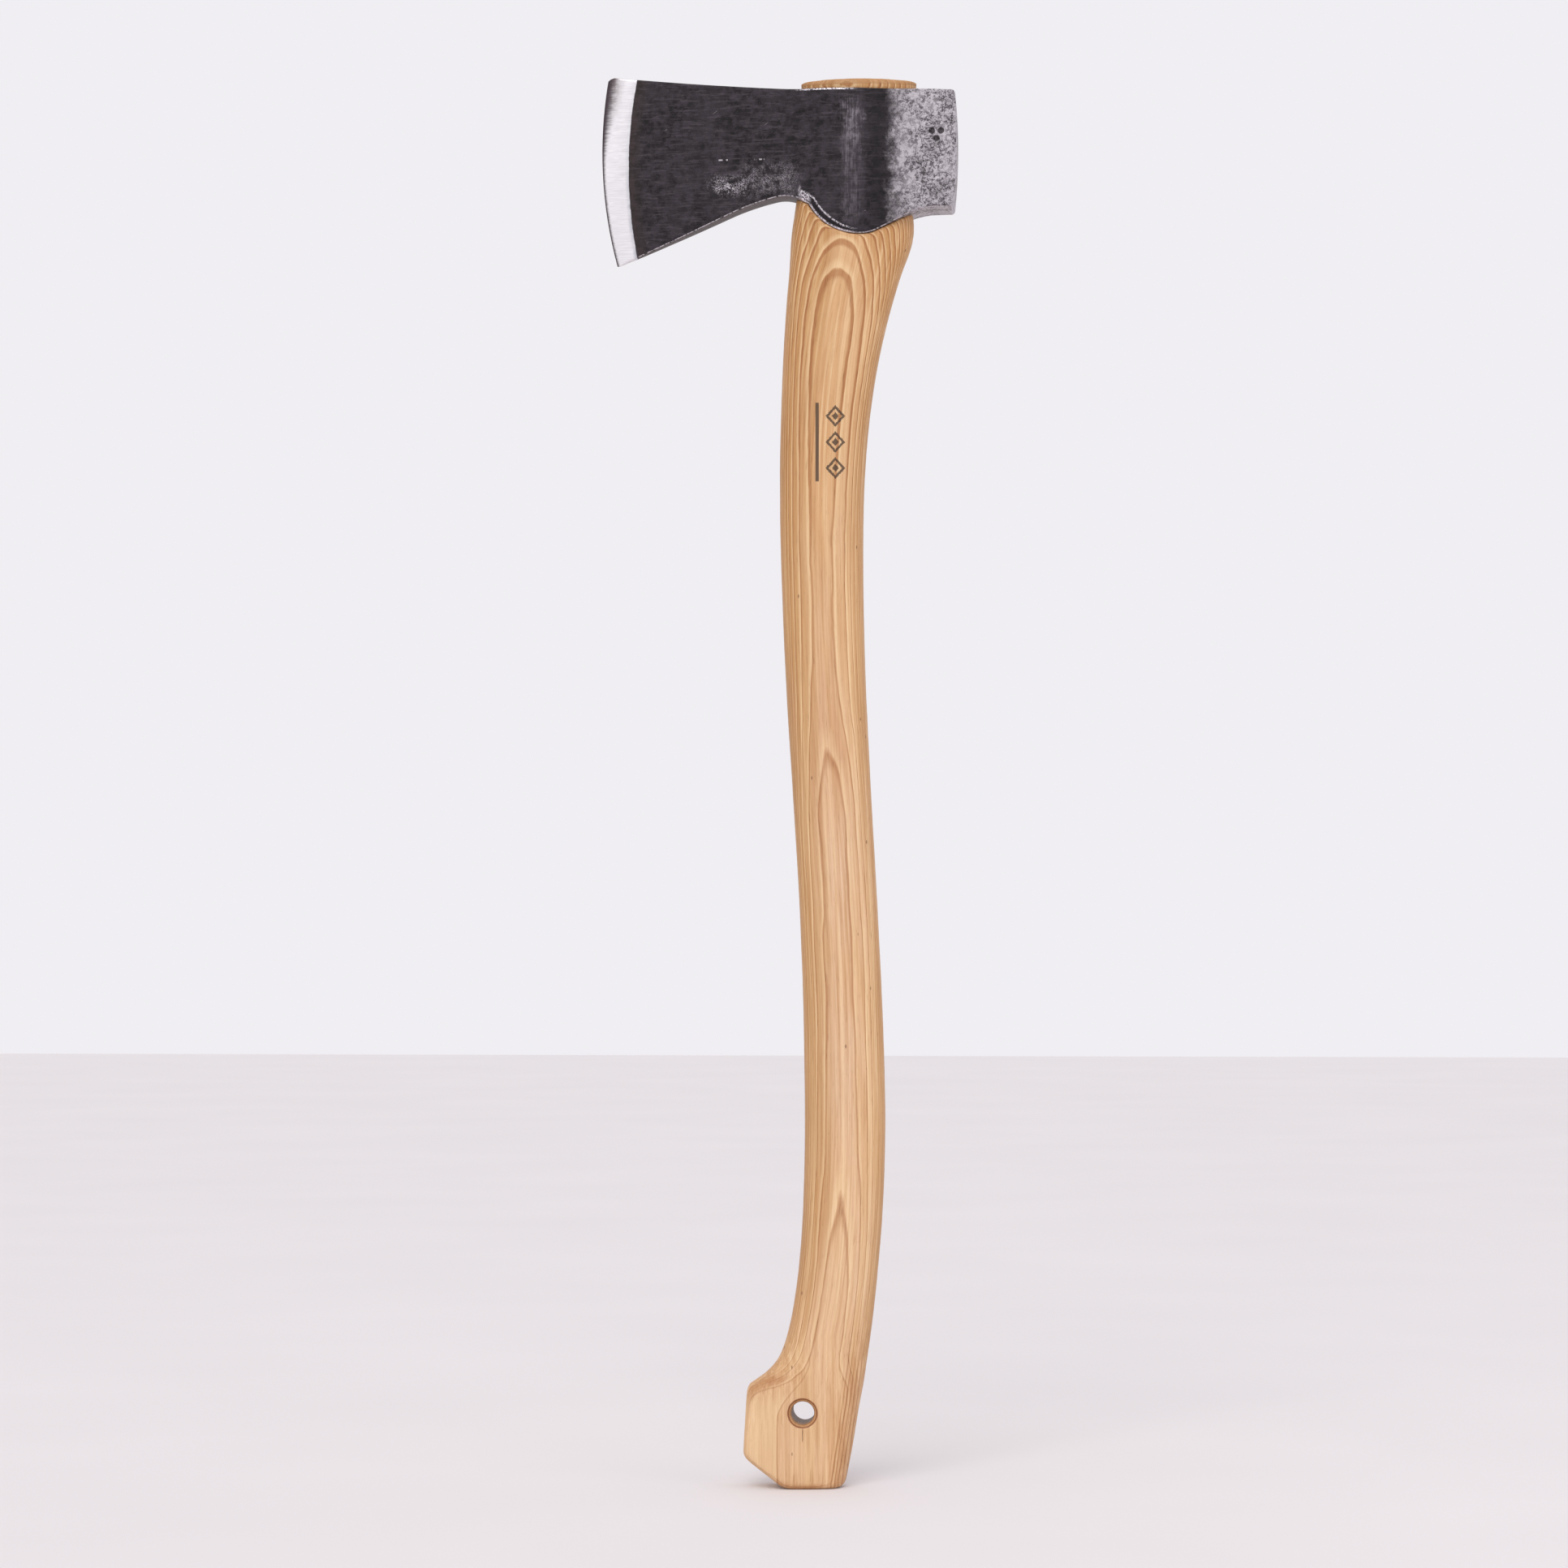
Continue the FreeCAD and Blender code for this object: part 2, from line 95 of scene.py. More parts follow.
# The punch marks on the poll.
PUNCHED_AT = ((66.5, 755.5), (71.5, 755.5), (69.0, 751.2))
PUNCH_RADIUS = 2.0
PUNCH_DEPTH = 0.55

# The eye: its middle, the heights between which its wall is measured, and the ends of the cut.
EYE_X = 25.0
EYE_LEVELS = (726.0, 774.0)
EYE_CUT = (668.0, 800.0)

# The hanging hole in the knob.
HOLE = (-5.9, 42.3)
HOLE_RADIUS = 6.4

# The waves a drawknife leaves down the handle, and the dents on the struck wedges: depth, size, seed.
SHAVING_WAVES = ((0.14, 16.0, 11), (0.05, 6.0, 12))
WOOD_DENTS = ((0.14, 1.6, 21), (0.10, 4.0, 22))
STEEL_DENTS = ((0.12, 1.2, 31),)

# The tongue is left rough from the saw above this height.
SAWN_ABOVE = 783.0

# The burned mark: heights and place across of the lozenges, their half sizes, and the rule beside them.
LOZENGE_HEIGHTS = (567.5, 582.0, 596.5)
LOZENGE_X = 12.5
LOZENGE_HALF = (5.2, 5.8)
RULE = ((1.4, 3.3, 0.15), (560.0, 604.0, 0.2))

# Noises that the steel's layers share: scale, detail, roughness.
PATCH = (0.22, 4.0, 0.65)
GRIT = (1.6, 3.0, 0.7)
FINE_GRIT = (4.5, 2.0, 0.6)
MOTTLE = (0.46, 6.0, 0.8)
SPECKS = (0.9, 4.0, 0.8)
CHIPS = (0.7, 3.0, 0.7)

# How much filing is drawn out along each axis, and the detail and roughness of drawn-out noise.
FILED_ALONG = (1.1, 0.6, 0.07)
STREAKS = (4.0, 0.75)

# Places on the steel, as a window across and a window up: low, high, softness.
SCUFF = ((-57.0, -38.0, 5.0), (723.0, 731.0, 4.0))
HAZE = ((-40.0, -10.0, 8.0), (722.0, 738.0, 6.0))
# Where the eye swell's painted highlight lies.
RIDGE_HIGHLIGHT = ((16.5, 27.0, 3.0), (706.0, 772.0, 8.0))
NOTCH_STREAK = ((-8.2, -6.9, 0.8), (719.0, 725.0, 3.0))

# A mixing node's sockets for its share and two inputs, and its output.
COLOUR_SOCKETS = ((0, 6, 7), 2)
NUMBER_SOCKETS = ((0, 2, 3), 0)

# The stage, in metres and degrees.
FLOOR_REACH = 6.0
LIT_MIDDLE = (0.0, 0.0, 0.45)
SUN_PLACE = (-0.35, -1.9, 2.4)
KEY_PLACE = (-1.5, -1.9, 1.4)
FILL_PLACE = (1.9, -1.2, 1.1)
VIEW_AZIMUTH = 3.6
VIEW_ELEVATION = -1.5
VIEW_DISTANCE = 2.3
VIEW_SHIFT = (0.0025, 0.0, -0.0033)
SENSOR = 36.0
LENS = 94.3


# ---- small helpers

def smooth(value, low, high):
    """0 below low, 1 above high and an S-curve between; low may be the larger."""
    share = np.clip((value - low) / (high - low), 0.0, 1.0)
    return share * share * (3.0 - 2.0 * share)


def tree_of(node):
    """A search tree over one CAD node's faces."""
    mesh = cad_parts[node].data
    corners = [vertex.co.copy() for vertex in mesh.vertices]
    faces = [tuple(polygon.vertices) for polygon in mesh.polygons]
    return BVHTree.FromPolygons(corners, faces)


def hit(tree, start, way):
    """Where a ray first meets the tree, in millimetres, or None."""
    place = tree.ray_cast(Vector(start) * MM, Vector(way).normalized())[0]
    return None if place is None else place / MM


def bumps(points, size, seed):
    """Smooth noise from -1 to 1 at each point, with lumps about size across."""
    shift = Vector((seed * 7.31, seed * 3.17, seed * 5.71))
    return np.array([noise.noise(Vector(point) / size + shift) for point in points])


def marks(points, rows):
    """Several layers of bumps: each row holds a depth, a size and a seed."""
    return sum(depth * bumps(points, size, seed) for depth, size, seed in rows)


def placed(name, data):
    """A new object in the scene."""
    thing = bpy.data.objects.new(name, data)
    bpy.context.scene.collection.objects.link(thing)
    return thing


def edit(mesh, change):
    """Change a mesh through bmesh."""
    work = bmesh.new()
    work.from_mesh(mesh)
    change(work)
    work.to_mesh(mesh)
    work.free()


def new_object(name, vertices, faces):
    """A mesh object from millimetre vertices, with its faces turned outwards."""
    mesh = bpy.data.meshes.new(name)
    mesh.from_pydata([tuple(float(c) * MM for c in vertex) for vertex in vertices], [], faces)
    edit(mesh, lambda work: bmesh.ops.recalc_face_normals(work, faces=work.faces))
    return placed(name, mesh)


def settle(thing):
    """Replace an object's mesh by the result of its modifiers."""
    depsgraph = bpy.context.evaluated_depsgraph_get()
    result = bpy.data.meshes.new_from_object(thing.evaluated_get(depsgraph))
    thing.modifiers.clear()
    old = thing.data
    thing.data = result
    bpy.data.meshes.remove(old)


def rub(thing, rounds, group=""):
    """Smooth an object's mesh, all over or as a vertex group says."""
    wear = thing.modifiers.new("wear", "SMOOTH")
    wear.factor = 0.5
    wear.iterations = rounds
    wear.vertex_group = group
    settle(thing)


def points_of(thing):
    """An object's vertices in millimetres."""
    flat = np.zeros(len(thing.data.vertices) * 3, np.float32)
    thing.data.vertices.foreach_get("co", flat)
    return flat.reshape(-1, 3).astype(float) / MM


def move_points(thing, points):
    """Write an object's vertices back, from millimetres."""
    thing.data.vertices.foreach_set("co", (points * MM).astype(np.float32).ravel())
    thing.data.update()


def normals_of(thing):
    """An object's vertex normals."""
    flat = np.zeros(len(thing.data.vertices) * 3, np.float32)
    thing.data.vertex_normals.foreach_get("vector", flat)
    return flat.reshape(-1, 3).astype(float)


def paint(thing, name, values):
    """Keep one number per vertex, for the material to read."""
    layer = thing.data.attributes.new(name, "FLOAT", "POINT")
    layer.data.foreach_set("value", np.asarray(values, np.float32))


def shade(thing, angle):
    """Smooth shading, broken only at edges sharper than an angle in degrees."""
    thing.data.shade_smooth()
    thing.data.set_sharp_from_angle(angle=math.radians(angle))


# ---- the forged head

class HeadShape:
    """The head's side outline and thickness, measured on its CAD node."""

    # How far across the head its top and bottom are probed, and a distance well clear of its sides.
    PROBES = (0.0, 9.0, 11.0, 13.0)
    FAR = 60.0

    def __init__(self):
        self.tree = tree_of("axe_head")
        low, high = (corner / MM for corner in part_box("axe_head"))
        self.middle = (low.z + high.z) / 2
        self.before_poll = high.x - 4.5
        self.edge_z = np.linspace(low.z + 0.02, high.z - 0.02, 180)
        self.edge_x = np.array([self.edge_at(z) for z in self.edge_z])
        bottom = self.line(self.edge_x[0], 1)
        top = self.line(self.edge_x[-1], -1)
        bottom[0, 1] = low.z
        top[0, 1] = high.z
        heights = np.linspace(bottom[-1, 1] + 3.0, top[-1, 1] - 3.0, 40)
        reach = [hit(self.tree, (200.0, 0.0, z), (-1, 0, 0)).x for z in heights]
        self.poll_curve = np.polyfit(heights - self.middle, reach, 2)
        self.bottom = self.to_poll(bottom)
        self.top = self.to_poll(top)

    def to_poll(self, line):
        """The top or bottom line, run on to meet the poll's bowed line."""
        x, z = line[-1]
        rise = line[-1] - line[-8]
        end = self.poll(z)
        return np.vstack([line, (end, z + rise[1] / rise[0] * (end - x))])

    def poll(self, z):
        """How far the poll reaches at one height, or at several."""
        return np.polyval(self.poll_curve, z - self.middle)

    def edge_at(self, z):
        """How far the edge reaches at one height."""
        return hit(self.tree, (-200.0, 0.0, z), (1, 0, 0)).x

    def line(self, first_x, way):
        """The bottom line (way 1) or the top line (way -1), from the edge to the poll."""
        across = np.linspace(first_x + 0.05, self.before_poll, 460)
        heights = []
        for x in across:
            starts = [(x, y, self.middle - way * self.FAR * 2) for y in self.PROBES]
            rays = [hit(self.tree, start, (0, 0, way)) for start in starts]
            found = [place.z for place in rays if place is not None]
            heights.append(min(found) if way > 0 else max(found))
        across[0] = first_x
        return np.column_stack([across, heights])

    def thickness(self, x, z):
        """Half the head's thickness at a place in the side view."""
        x = min(x, self.poll(z) - CORNER_RIM)
        for pull in (0.0, 0.15, 0.5, 1.2):
            inward = 1 if z < self.middle else -1
            place = hit(self.tree, (x + pull, -self.FAR, z + inward * pull), (0, 1, 0))
            if place is not None:
                return -place.y
        return 0.3

    def outline(self):
        """The closed side outline, with the rim radius at each point."""
        points = []
        points += [(x, z, EDGE_RIM) for x, z in zip(self.edge_x, self.edge_z)]
        points += [(x, z, TOP_RIM) for x, z in self.top[1:]]
        poll_z = np.linspace(self.top[-1, 1], self.bottom[-1, 1], 60)
        points += [(self.poll(z), z, POLL_RIM) for z in poll_z[1:-1]]
        for x, z in self.bottom[::-1]:
            radius = LUG_RIM if NOTCH_X < x < POLL_SHOULDER_X else BEARD_RIM
            points.append((x, z, radius))
        return np.array(points)


def distance_to(points, line, closed):
    """Distance from each point to a line in the side view, and the nearest segment's number."""
    ends = np.roll(line, -1, axis=0) if closed else line[1:]
    starts = line if closed else line[:-1]
    along = ends[:, :2] - starts[:, :2]
    length = np.maximum((along ** 2).sum(1), 1e-12)
    nearest = np.full(len(points), 1e9)
    number = np.zeros(len(points), int)
    for first in range(0, len(points), 4000):
        part = points[first:first + 4000]
        offset = part[:, None, :] - starts[None, :, :2]
        share = np.clip((offset * along[None]).sum(2) / length[None], 0.0, 1.0)
        gap = offset - share[:, :, None] * along[None]
        far = np.sqrt((gap ** 2).sum(2))
        number[first:first + 4000] = far.argmin(1)
        nearest[first:first + 4000] = far.min(1)
    return nearest, number


def arc_x(arc, z):
    """Where an arc of the side view lies at a height."""
    centre_x, centre_z, radius = arc
    return centre_x - math.sqrt(radius ** 2 - (z - centre_z) ** 2)


def head_columns(shape):
    """The grid's columns, as functions from height to distance along the head."""

    def between(left, right, share):
        return lambda z: left(z) + (right(z) - left(z)) * share

    def edge(z):
        return float(np.interp(z, shape.edge_z, shape.edge_x))

    def bevel(z):
        return arc_x(BEVEL_ARC, z)

    def straight(x):
        return lambda z: x

    columns = [between(edge, bevel, share) for share in np.linspace(0.0, 1.0, 25)]
    columns += [between(bevel, straight(STRAIGHT_X), share) for share in np.linspace(0.0, 1.0, 90)[1:]]
    stops = (STRAIGHT_X, NOTCH_X, LUG_TIP_X, POLL_SHOULDER_X)
    for left, right in zip(stops, stops[1:]):
        count = int((right - left) / 0.75)
        columns += [straight(x) for x in np.linspace(left, right, count + 1)[1:]]

    def before_poll(turn):
        inset = CORNER_RIM * (1 - math.sin(math.radians(turn)))
        return lambda z: float(shape.poll(z)) - inset

    shoulder = straight(POLL_SHOULDER_X)
    columns += [between(shoulder, before_poll(0), share) for share in np.linspace(0.0, 1.0, 38)[1:]]
    columns += [before_poll(turn) for turn in (15, 30, 45, 60, 75, 90)]
    return columns


def meet(column, line, height):
    """Height at which a column crosses the top or the bottom line."""
    for _ in range(48):
        height = 0.5 * height + 0.5 * float(np.interp(column(height), *line.T))
    return height


def slant(x, line):
    """How much longer a vertical step is than the distance from a sloping line."""
    rise = np.interp(x + 0.6, *line.T) - np.interp(x - 0.6, *line.T)
    return math.hypot(1.0, rise / 1.2)


def head_rows(bottom, top, bottom_reach, top_reach):
    """Heights up one column: close together over the two rims, even between them."""
    turns = [1 - math.sin(math.radians(a)) for a in (90, 75, 60, 45, 30, 15, 0)]
    low = [bottom + bottom_reach * turn for turn in turns]
    high = [top - top_reach * turn for turn in reversed(turns)]
    middle = np.linspace(low[-1], high[0], 112)[1:-1]
    return low + list(middle) + high


def head_grid(shape):
    """The side view's grid of points: distance along and height, by column and row."""
    grid = []
    for column in head_columns(shape):
        bottom = meet(column, shape.bottom, shape.middle)
        top = meet(column, shape.top, shape.middle)
        bottom_slant = slant(column(bottom), shape.bottom)
        heights = head_rows(bottom, top, BEARD_RIM * bottom_slant, TOP_RIM)
        grid.append([(column(z), z) for z in heights])
    return np.array(grid)


def round_corners(shape, grid):
    """Round the poll's two corners in the side view by drawing the grid into a disc there."""
    for edge, way in ((shape.top, -1), (shape.bottom, 1)):
        poll = shape.poll(grid[..., 1])
        line = np.interp(grid[..., 0], *edge.T)
        across = 1 - (poll - grid[..., 0]) / CORNER_RIM
        up = 1 - (grid[..., 1] - line) * way / CORNER_RIM
        inside = (across > 0) & (up > 0)
        p = np.clip(across[inside], 0, 1)
        q = np.clip(up[inside], 0, 1)
        grid[..., 0][inside] = poll[inside] - CORNER_RIM * (1 - p * np.sqrt(1 - q * q / 2))
        grid[..., 1][inside] = line[inside] + way * CORNER_RIM * (1 - q * np.sqrt(1 - p * p / 2))
    return grid


def ease_creases(grid, full):
    """Let the thickness run smoothly along the head behind the bevel, where a hammer would blend it."""
    share = 0.5 * smooth(grid[1:-1, :, 0], -75.0, -55.0)
    for _ in range(60):
        drift = (full[:-2] + full[2:]) / 2 - full[1:-1]
        full[1:-1] += share * drift
    return full


def behind(arc, points):
    """How far points of the side view lie behind an arc, towards the poll."""
    return arc[2] - np.hypot(points[:, 0] - arc[0], points[:, 1] - arc[1])


def forge_marks(flat, side):
    """Hammer undulation of one side, absent from the ground bevel."""
    solid = np.column_stack([flat[:, 0], np.full(len(flat), side * 40.0), flat[:, 1]])
    scale_side = smooth(behind(BEVEL_ARC, flat), 0.5, 14.0)
    poll = smooth(flat[:, 0], 40.0, 56.0)
    hammered = marks(solid, CHEEK_MARKS) + poll * marks(solid, POLL_MARKS)
    return scale_side * hammered + (1 - scale_side) * marks(solid, GRINDING_MARKS)


def punch_dots(flat):
    """Three round punch marks set in a triangle on the front of the poll."""
    depth = np.zeros(len(flat))
    for across, up in PUNCHED_AT:
        far = np.hypot(flat[:, 0] - across, flat[:, 1] - up)
        depth += PUNCH_DEPTH * np.sqrt(np.clip(1 - (far / PUNCH_RADIUS) ** 2, 0, 1))
    return depth


def lug_facet(flat, bottom_line):
    """Depth of the facet filed along the front edge of each lug."""
    far, _ = distance_to(flat, bottom_line, False)
    reach = smooth(flat[:, 0], NOTCH_X - 0.6, NOTCH_X + 1.0)
    width = FACET_WIDTH * reach * (1 - 0.75 * smooth(flat[:, 0], 12.0, LUG_TIP_X + 6.0))
    width = width * (1 + 0.12 * np.sin(flat[:, 0] * 0.9))
    return FACET_SLOPE * np.clip(width - far, 0, None)


def half_widths(shape, grid, side):
    """Half thickness of the finished head on one side, with its rims, marks and facet."""
    outline = shape.outline()
    flat = grid.reshape(-1, 2)
    full = np.array([shape.thickness(x, z) for x, z in flat])
    full = ease_creases(grid, full.reshape(grid.shape[:2])).ravel()
    far, number = distance_to(flat, outline, True)
    radius = outline[number, 2]
    to_poll = smooth(flat[:, 0], 66.0, 76.0)
    radius = np.minimum(radius + (POLL_RIM - radius) * to_poll, 0.45 * full)
    inset = np.clip(radius - far, 0, None)
    rim = radius - np.sqrt(np.clip(radius ** 2 - inset ** 2, 0, None))
    dents = forge_marks(flat, side) - lug_facet(flat, shape.bottom)
    if side < 0:
        dents = dents - punch_dots(flat)
    return np.maximum(full - rim + dents, 0.12).reshape(grid.shape[:2])


def box_shell(front, back, grid):
    """Close two side sheets into one skin with faces all round, and return vertices and faces."""
    columns, rows = grid.shape[:2]
    across = 14
    number = {}
    vertices = []

    def corner(i, j, k):
        key = (i, j, k)
        if key not in number:
            x, z = grid[i, j]
            share = k / across
            number[key] = len(vertices)
            vertices.append((x, -front[i, j] * (1 - share) + back[i, j] * share, z))
        return number[key]

    faces = []
    around = ((0, 0), (1, 0), (1, 1), (0, 1))

    def sheet(place, wide, high):
        for a in range(wide):
            for b in range(high):
                faces.append(tuple(corner(*place(a + right, b + up)) for right, up in around))

    for k in (0, across):
        sheet(lambda i, j: (i, j, k), columns - 1, rows - 1)
    for j in (0, rows - 1):
        sheet(lambda i, k: (i, j, k), columns - 1, across)
    for i in (0, columns - 1):
        sheet(lambda j, k: (i, j, k), rows - 1, across)
    return vertices, faces


def eye_cutter(shape):
    """A plug with the eye's own shape, measured on its walls and run on past both ends."""
    turns = [2 * math.pi * step / 120 for step in range(120)]
    ways = [(30 * math.cos(turn), 10.5 * math.sin(turn), 0) for turn in turns]

    def ring(z):
        return np.array([hit(shape.tree, (EYE_X, 0, z), way)[:2] for way in ways])

    levels = np.linspace(*EYE_LEVELS, 9)
    rings = [ring(z) for z in levels]
    low_slope = (rings[1] - rings[0]) / (levels[1] - levels[0])
    high_slope = (rings[-1] - rings[-2]) / (levels[-1] - levels[-2])
    low, high = EYE_CUT
    stack = [(low, rings[0] + low_slope * (low - levels[0]))]
    stack += list(zip(levels, rings))
    stack.append((high, rings[-1] + high_slope * (high - levels[-1])))
    vertices = [(x, y, z) for z, loop in stack for x, y in loop]
    count = len(turns)
    faces = [tuple(range(count)), tuple(range(len(vertices) - count, len(vertices)))]
    for level in range(len(stack) - 1):
        for step in range(count):
            after = (step + 1) % count
            base = level * count
            faces.append((base + step, base + after, base + count + after, base + count + step))
    return new_object("eye_cutter", vertices, faces)


def drop_flaps(work):
    """Cut a mesh into triangles and drop the pairs that lie back to back, which a cut leaves."""
    bmesh.ops.triangulate(work, faces=work.faces)
    twins = {}
    for face in work.faces:
        twins.setdefault(frozenset(vert.index for vert in face.verts), []).append(face)
    flaps = [face for group in twins.values() if len(group) > 1 for face in group]
    bmesh.ops.delete(work, geom=flaps, context="FACES")


def make_head():
    """The head: a skin over the measured shape, with its eye cut through."""
    shape = HeadShape()
    grid = round_corners(shape, head_grid(shape))
    front = half_widths(shape, grid, -1)
    back = half_widths(shape, grid, 1)
    head = new_object("head", *box_shell(front, back, grid))
    cutter = eye_cutter(shape)
    cut = head.modifiers.new("eye", "BOOLEAN")
    cut.operation = "DIFFERENCE"
    cut.solver = "EXACT"
    cut.object = cutter
    settle(head)
    bpy.data.objects.remove(cutter)
    edit(head.data, drop_flaps)
    points = points_of(head)[:, [0, 2]]
    paint(head, "rim_mm", distance_to(points, shape.outline(), True)[0])
    paint(head, "under_mm", distance_to(points, shape.bottom, False)[0])
    paint(head, "punched", punch_dots(points) * (points_of(head)[:, 1] < 0))
    shade(head, 42)
    return head


# ---- worn copies of the other solids

def weathered(node, name, voxel, rounds):
    """A close, even mesh of a CAD node with its sharp edges worn round."""
    thing = placed(name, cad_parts[node].data.copy())
    thing.data.materials.clear()
    edit(thing.data, lambda work: bmesh.ops.remove_doubles(work, verts=work.verts, dist=1e-6))
    remesh = thing.modifiers.new("remesh", "REMESH")
    remesh.mode = "VOXEL"
    remesh.voxel_size = voxel * MM
    settle(thing)
    rub(thing, rounds)
    return thing


def soften(thing, weights, rounds):
    """Round an object's edges where the weights say, and return how far each vertex moved."""
    before = points_of(thing)
    group = thing.vertex_groups.new(name="soft")
    for level in range(1, 11):
        chosen = np.nonzero(np.ceil(weights * 10) == level)[0]
        group.add([int(number) for number in chosen], level / 10, "REPLACE")
    rub(thing, rounds, "soft")
    thing.vertex_groups.clear()
    return np.linalg.norm(points_of(thing) - before, axis=1)


def eased_points(thing, rounds):
    """Where an object's vertices would lie if its surface were smoothed for many rounds."""
    twin = placed("twin", thing.data.copy())
    rub(twin, rounds)
    points = points_of(twin)
    mesh = twin.data
    bpy.data.objects.remove(twin)
    bpy.data.meshes.remove(mesh)
    return points


def middle_line(points):
    """How far across the middle of the handle lies at each point's height."""
    heights = np.linspace(85.0, 690.0, 122)
    middles = []
    for height in heights:
        level = points[np.abs(points[:, 2] - height) < 1.2, 0]
        middles.append((level.min() + level.max()) / 2)
    return np.interp(points[:, 2], heights, middles)


def make_haft():
    """The haft, with a well rounded knob and the slight waviness of a shaved handle."""
    haft = weathered("haft", "handle", 0.8, 3)
    points = points_of(haft)
    from_hole = np.hypot(points[:, 0] - HOLE[0], points[:, 2] - HOLE[1])
    knob = smooth(points[:, 2], 78.0, 60.0) * smooth(from_hole, 9.0, 12.0)
    butt = smooth(points[:, 2], 12.0, 5.0)
    moved = soften(haft, knob, 2)
    moved = moved + soften(haft, butt, 22)
    points = points_of(haft)
    handle = smooth(points[:, 2], 30.0, 80.0) * smooth(points[:, 2], 700.0, 660.0)
    lie = np.column_stack([points[:, 0], points[:, 1], points[:, 2] * 0.35])
    points = points + normals_of(haft) * (handle * marks(lie, SHAVING_WAVES))[:, None]
    move_points(haft, points)
    # The rounded edges and the faces that turn away from the front are kept as a number that paints them
    # darker, as shade.
    turned = np.abs(normals_of(haft)[:, 1])
    turning = smooth(turned, 0.3, 0.5) * smooth(turned, 0.985, 0.93) * smooth(points[:, 2], 66.0, 60.0)
    paint(haft, "edge_shade", np.clip(np.maximum(moved / 0.35, turning), 0, 1))
    paint(haft, "eased_away", eased_points(haft, 50)[:, 1])
    paint(haft, "off_middle", points[:, 0] - middle_line(points))
    shade(haft, 60)
    return haft


def make_wooden_wedge():
    """The wooden wedge, its top a little crushed by the hammer."""
    wedge = weathered("wooden_wedge", "wedge_of_wood", 0.45, 1)
    points = points_of(wedge)
    top = smooth(points[:, 2], 783.5, 785.0)
    points[:, 2] += top * (marks(points, WOOD_DENTS) - 0.16)
    move_points(wedge, points)
    paint(wedge, "edge_shade", np.zeros(len(points)))
    paint(wedge, "eased_away", points[:, 1])
    paint(wedge, "off_middle", points[:, 0] - 20.0)
    shade(wedge, 50)
    return wedge


def make_steel_wedge():
    """The three-legged steel wedge, its top mushroomed a little."""
    wedge = weathered("steel_wedge", "wedge_of_steel", 0.25, 1)
    points = points_of(wedge)
    top = smooth(points[:, 2], 785.0, 786.2)
    points[:, 2] += top * marks(points, STEEL_DENTS)
    move_points(wedge, points)
    shade(wedge, 50)
    return wedge


# ---- materials

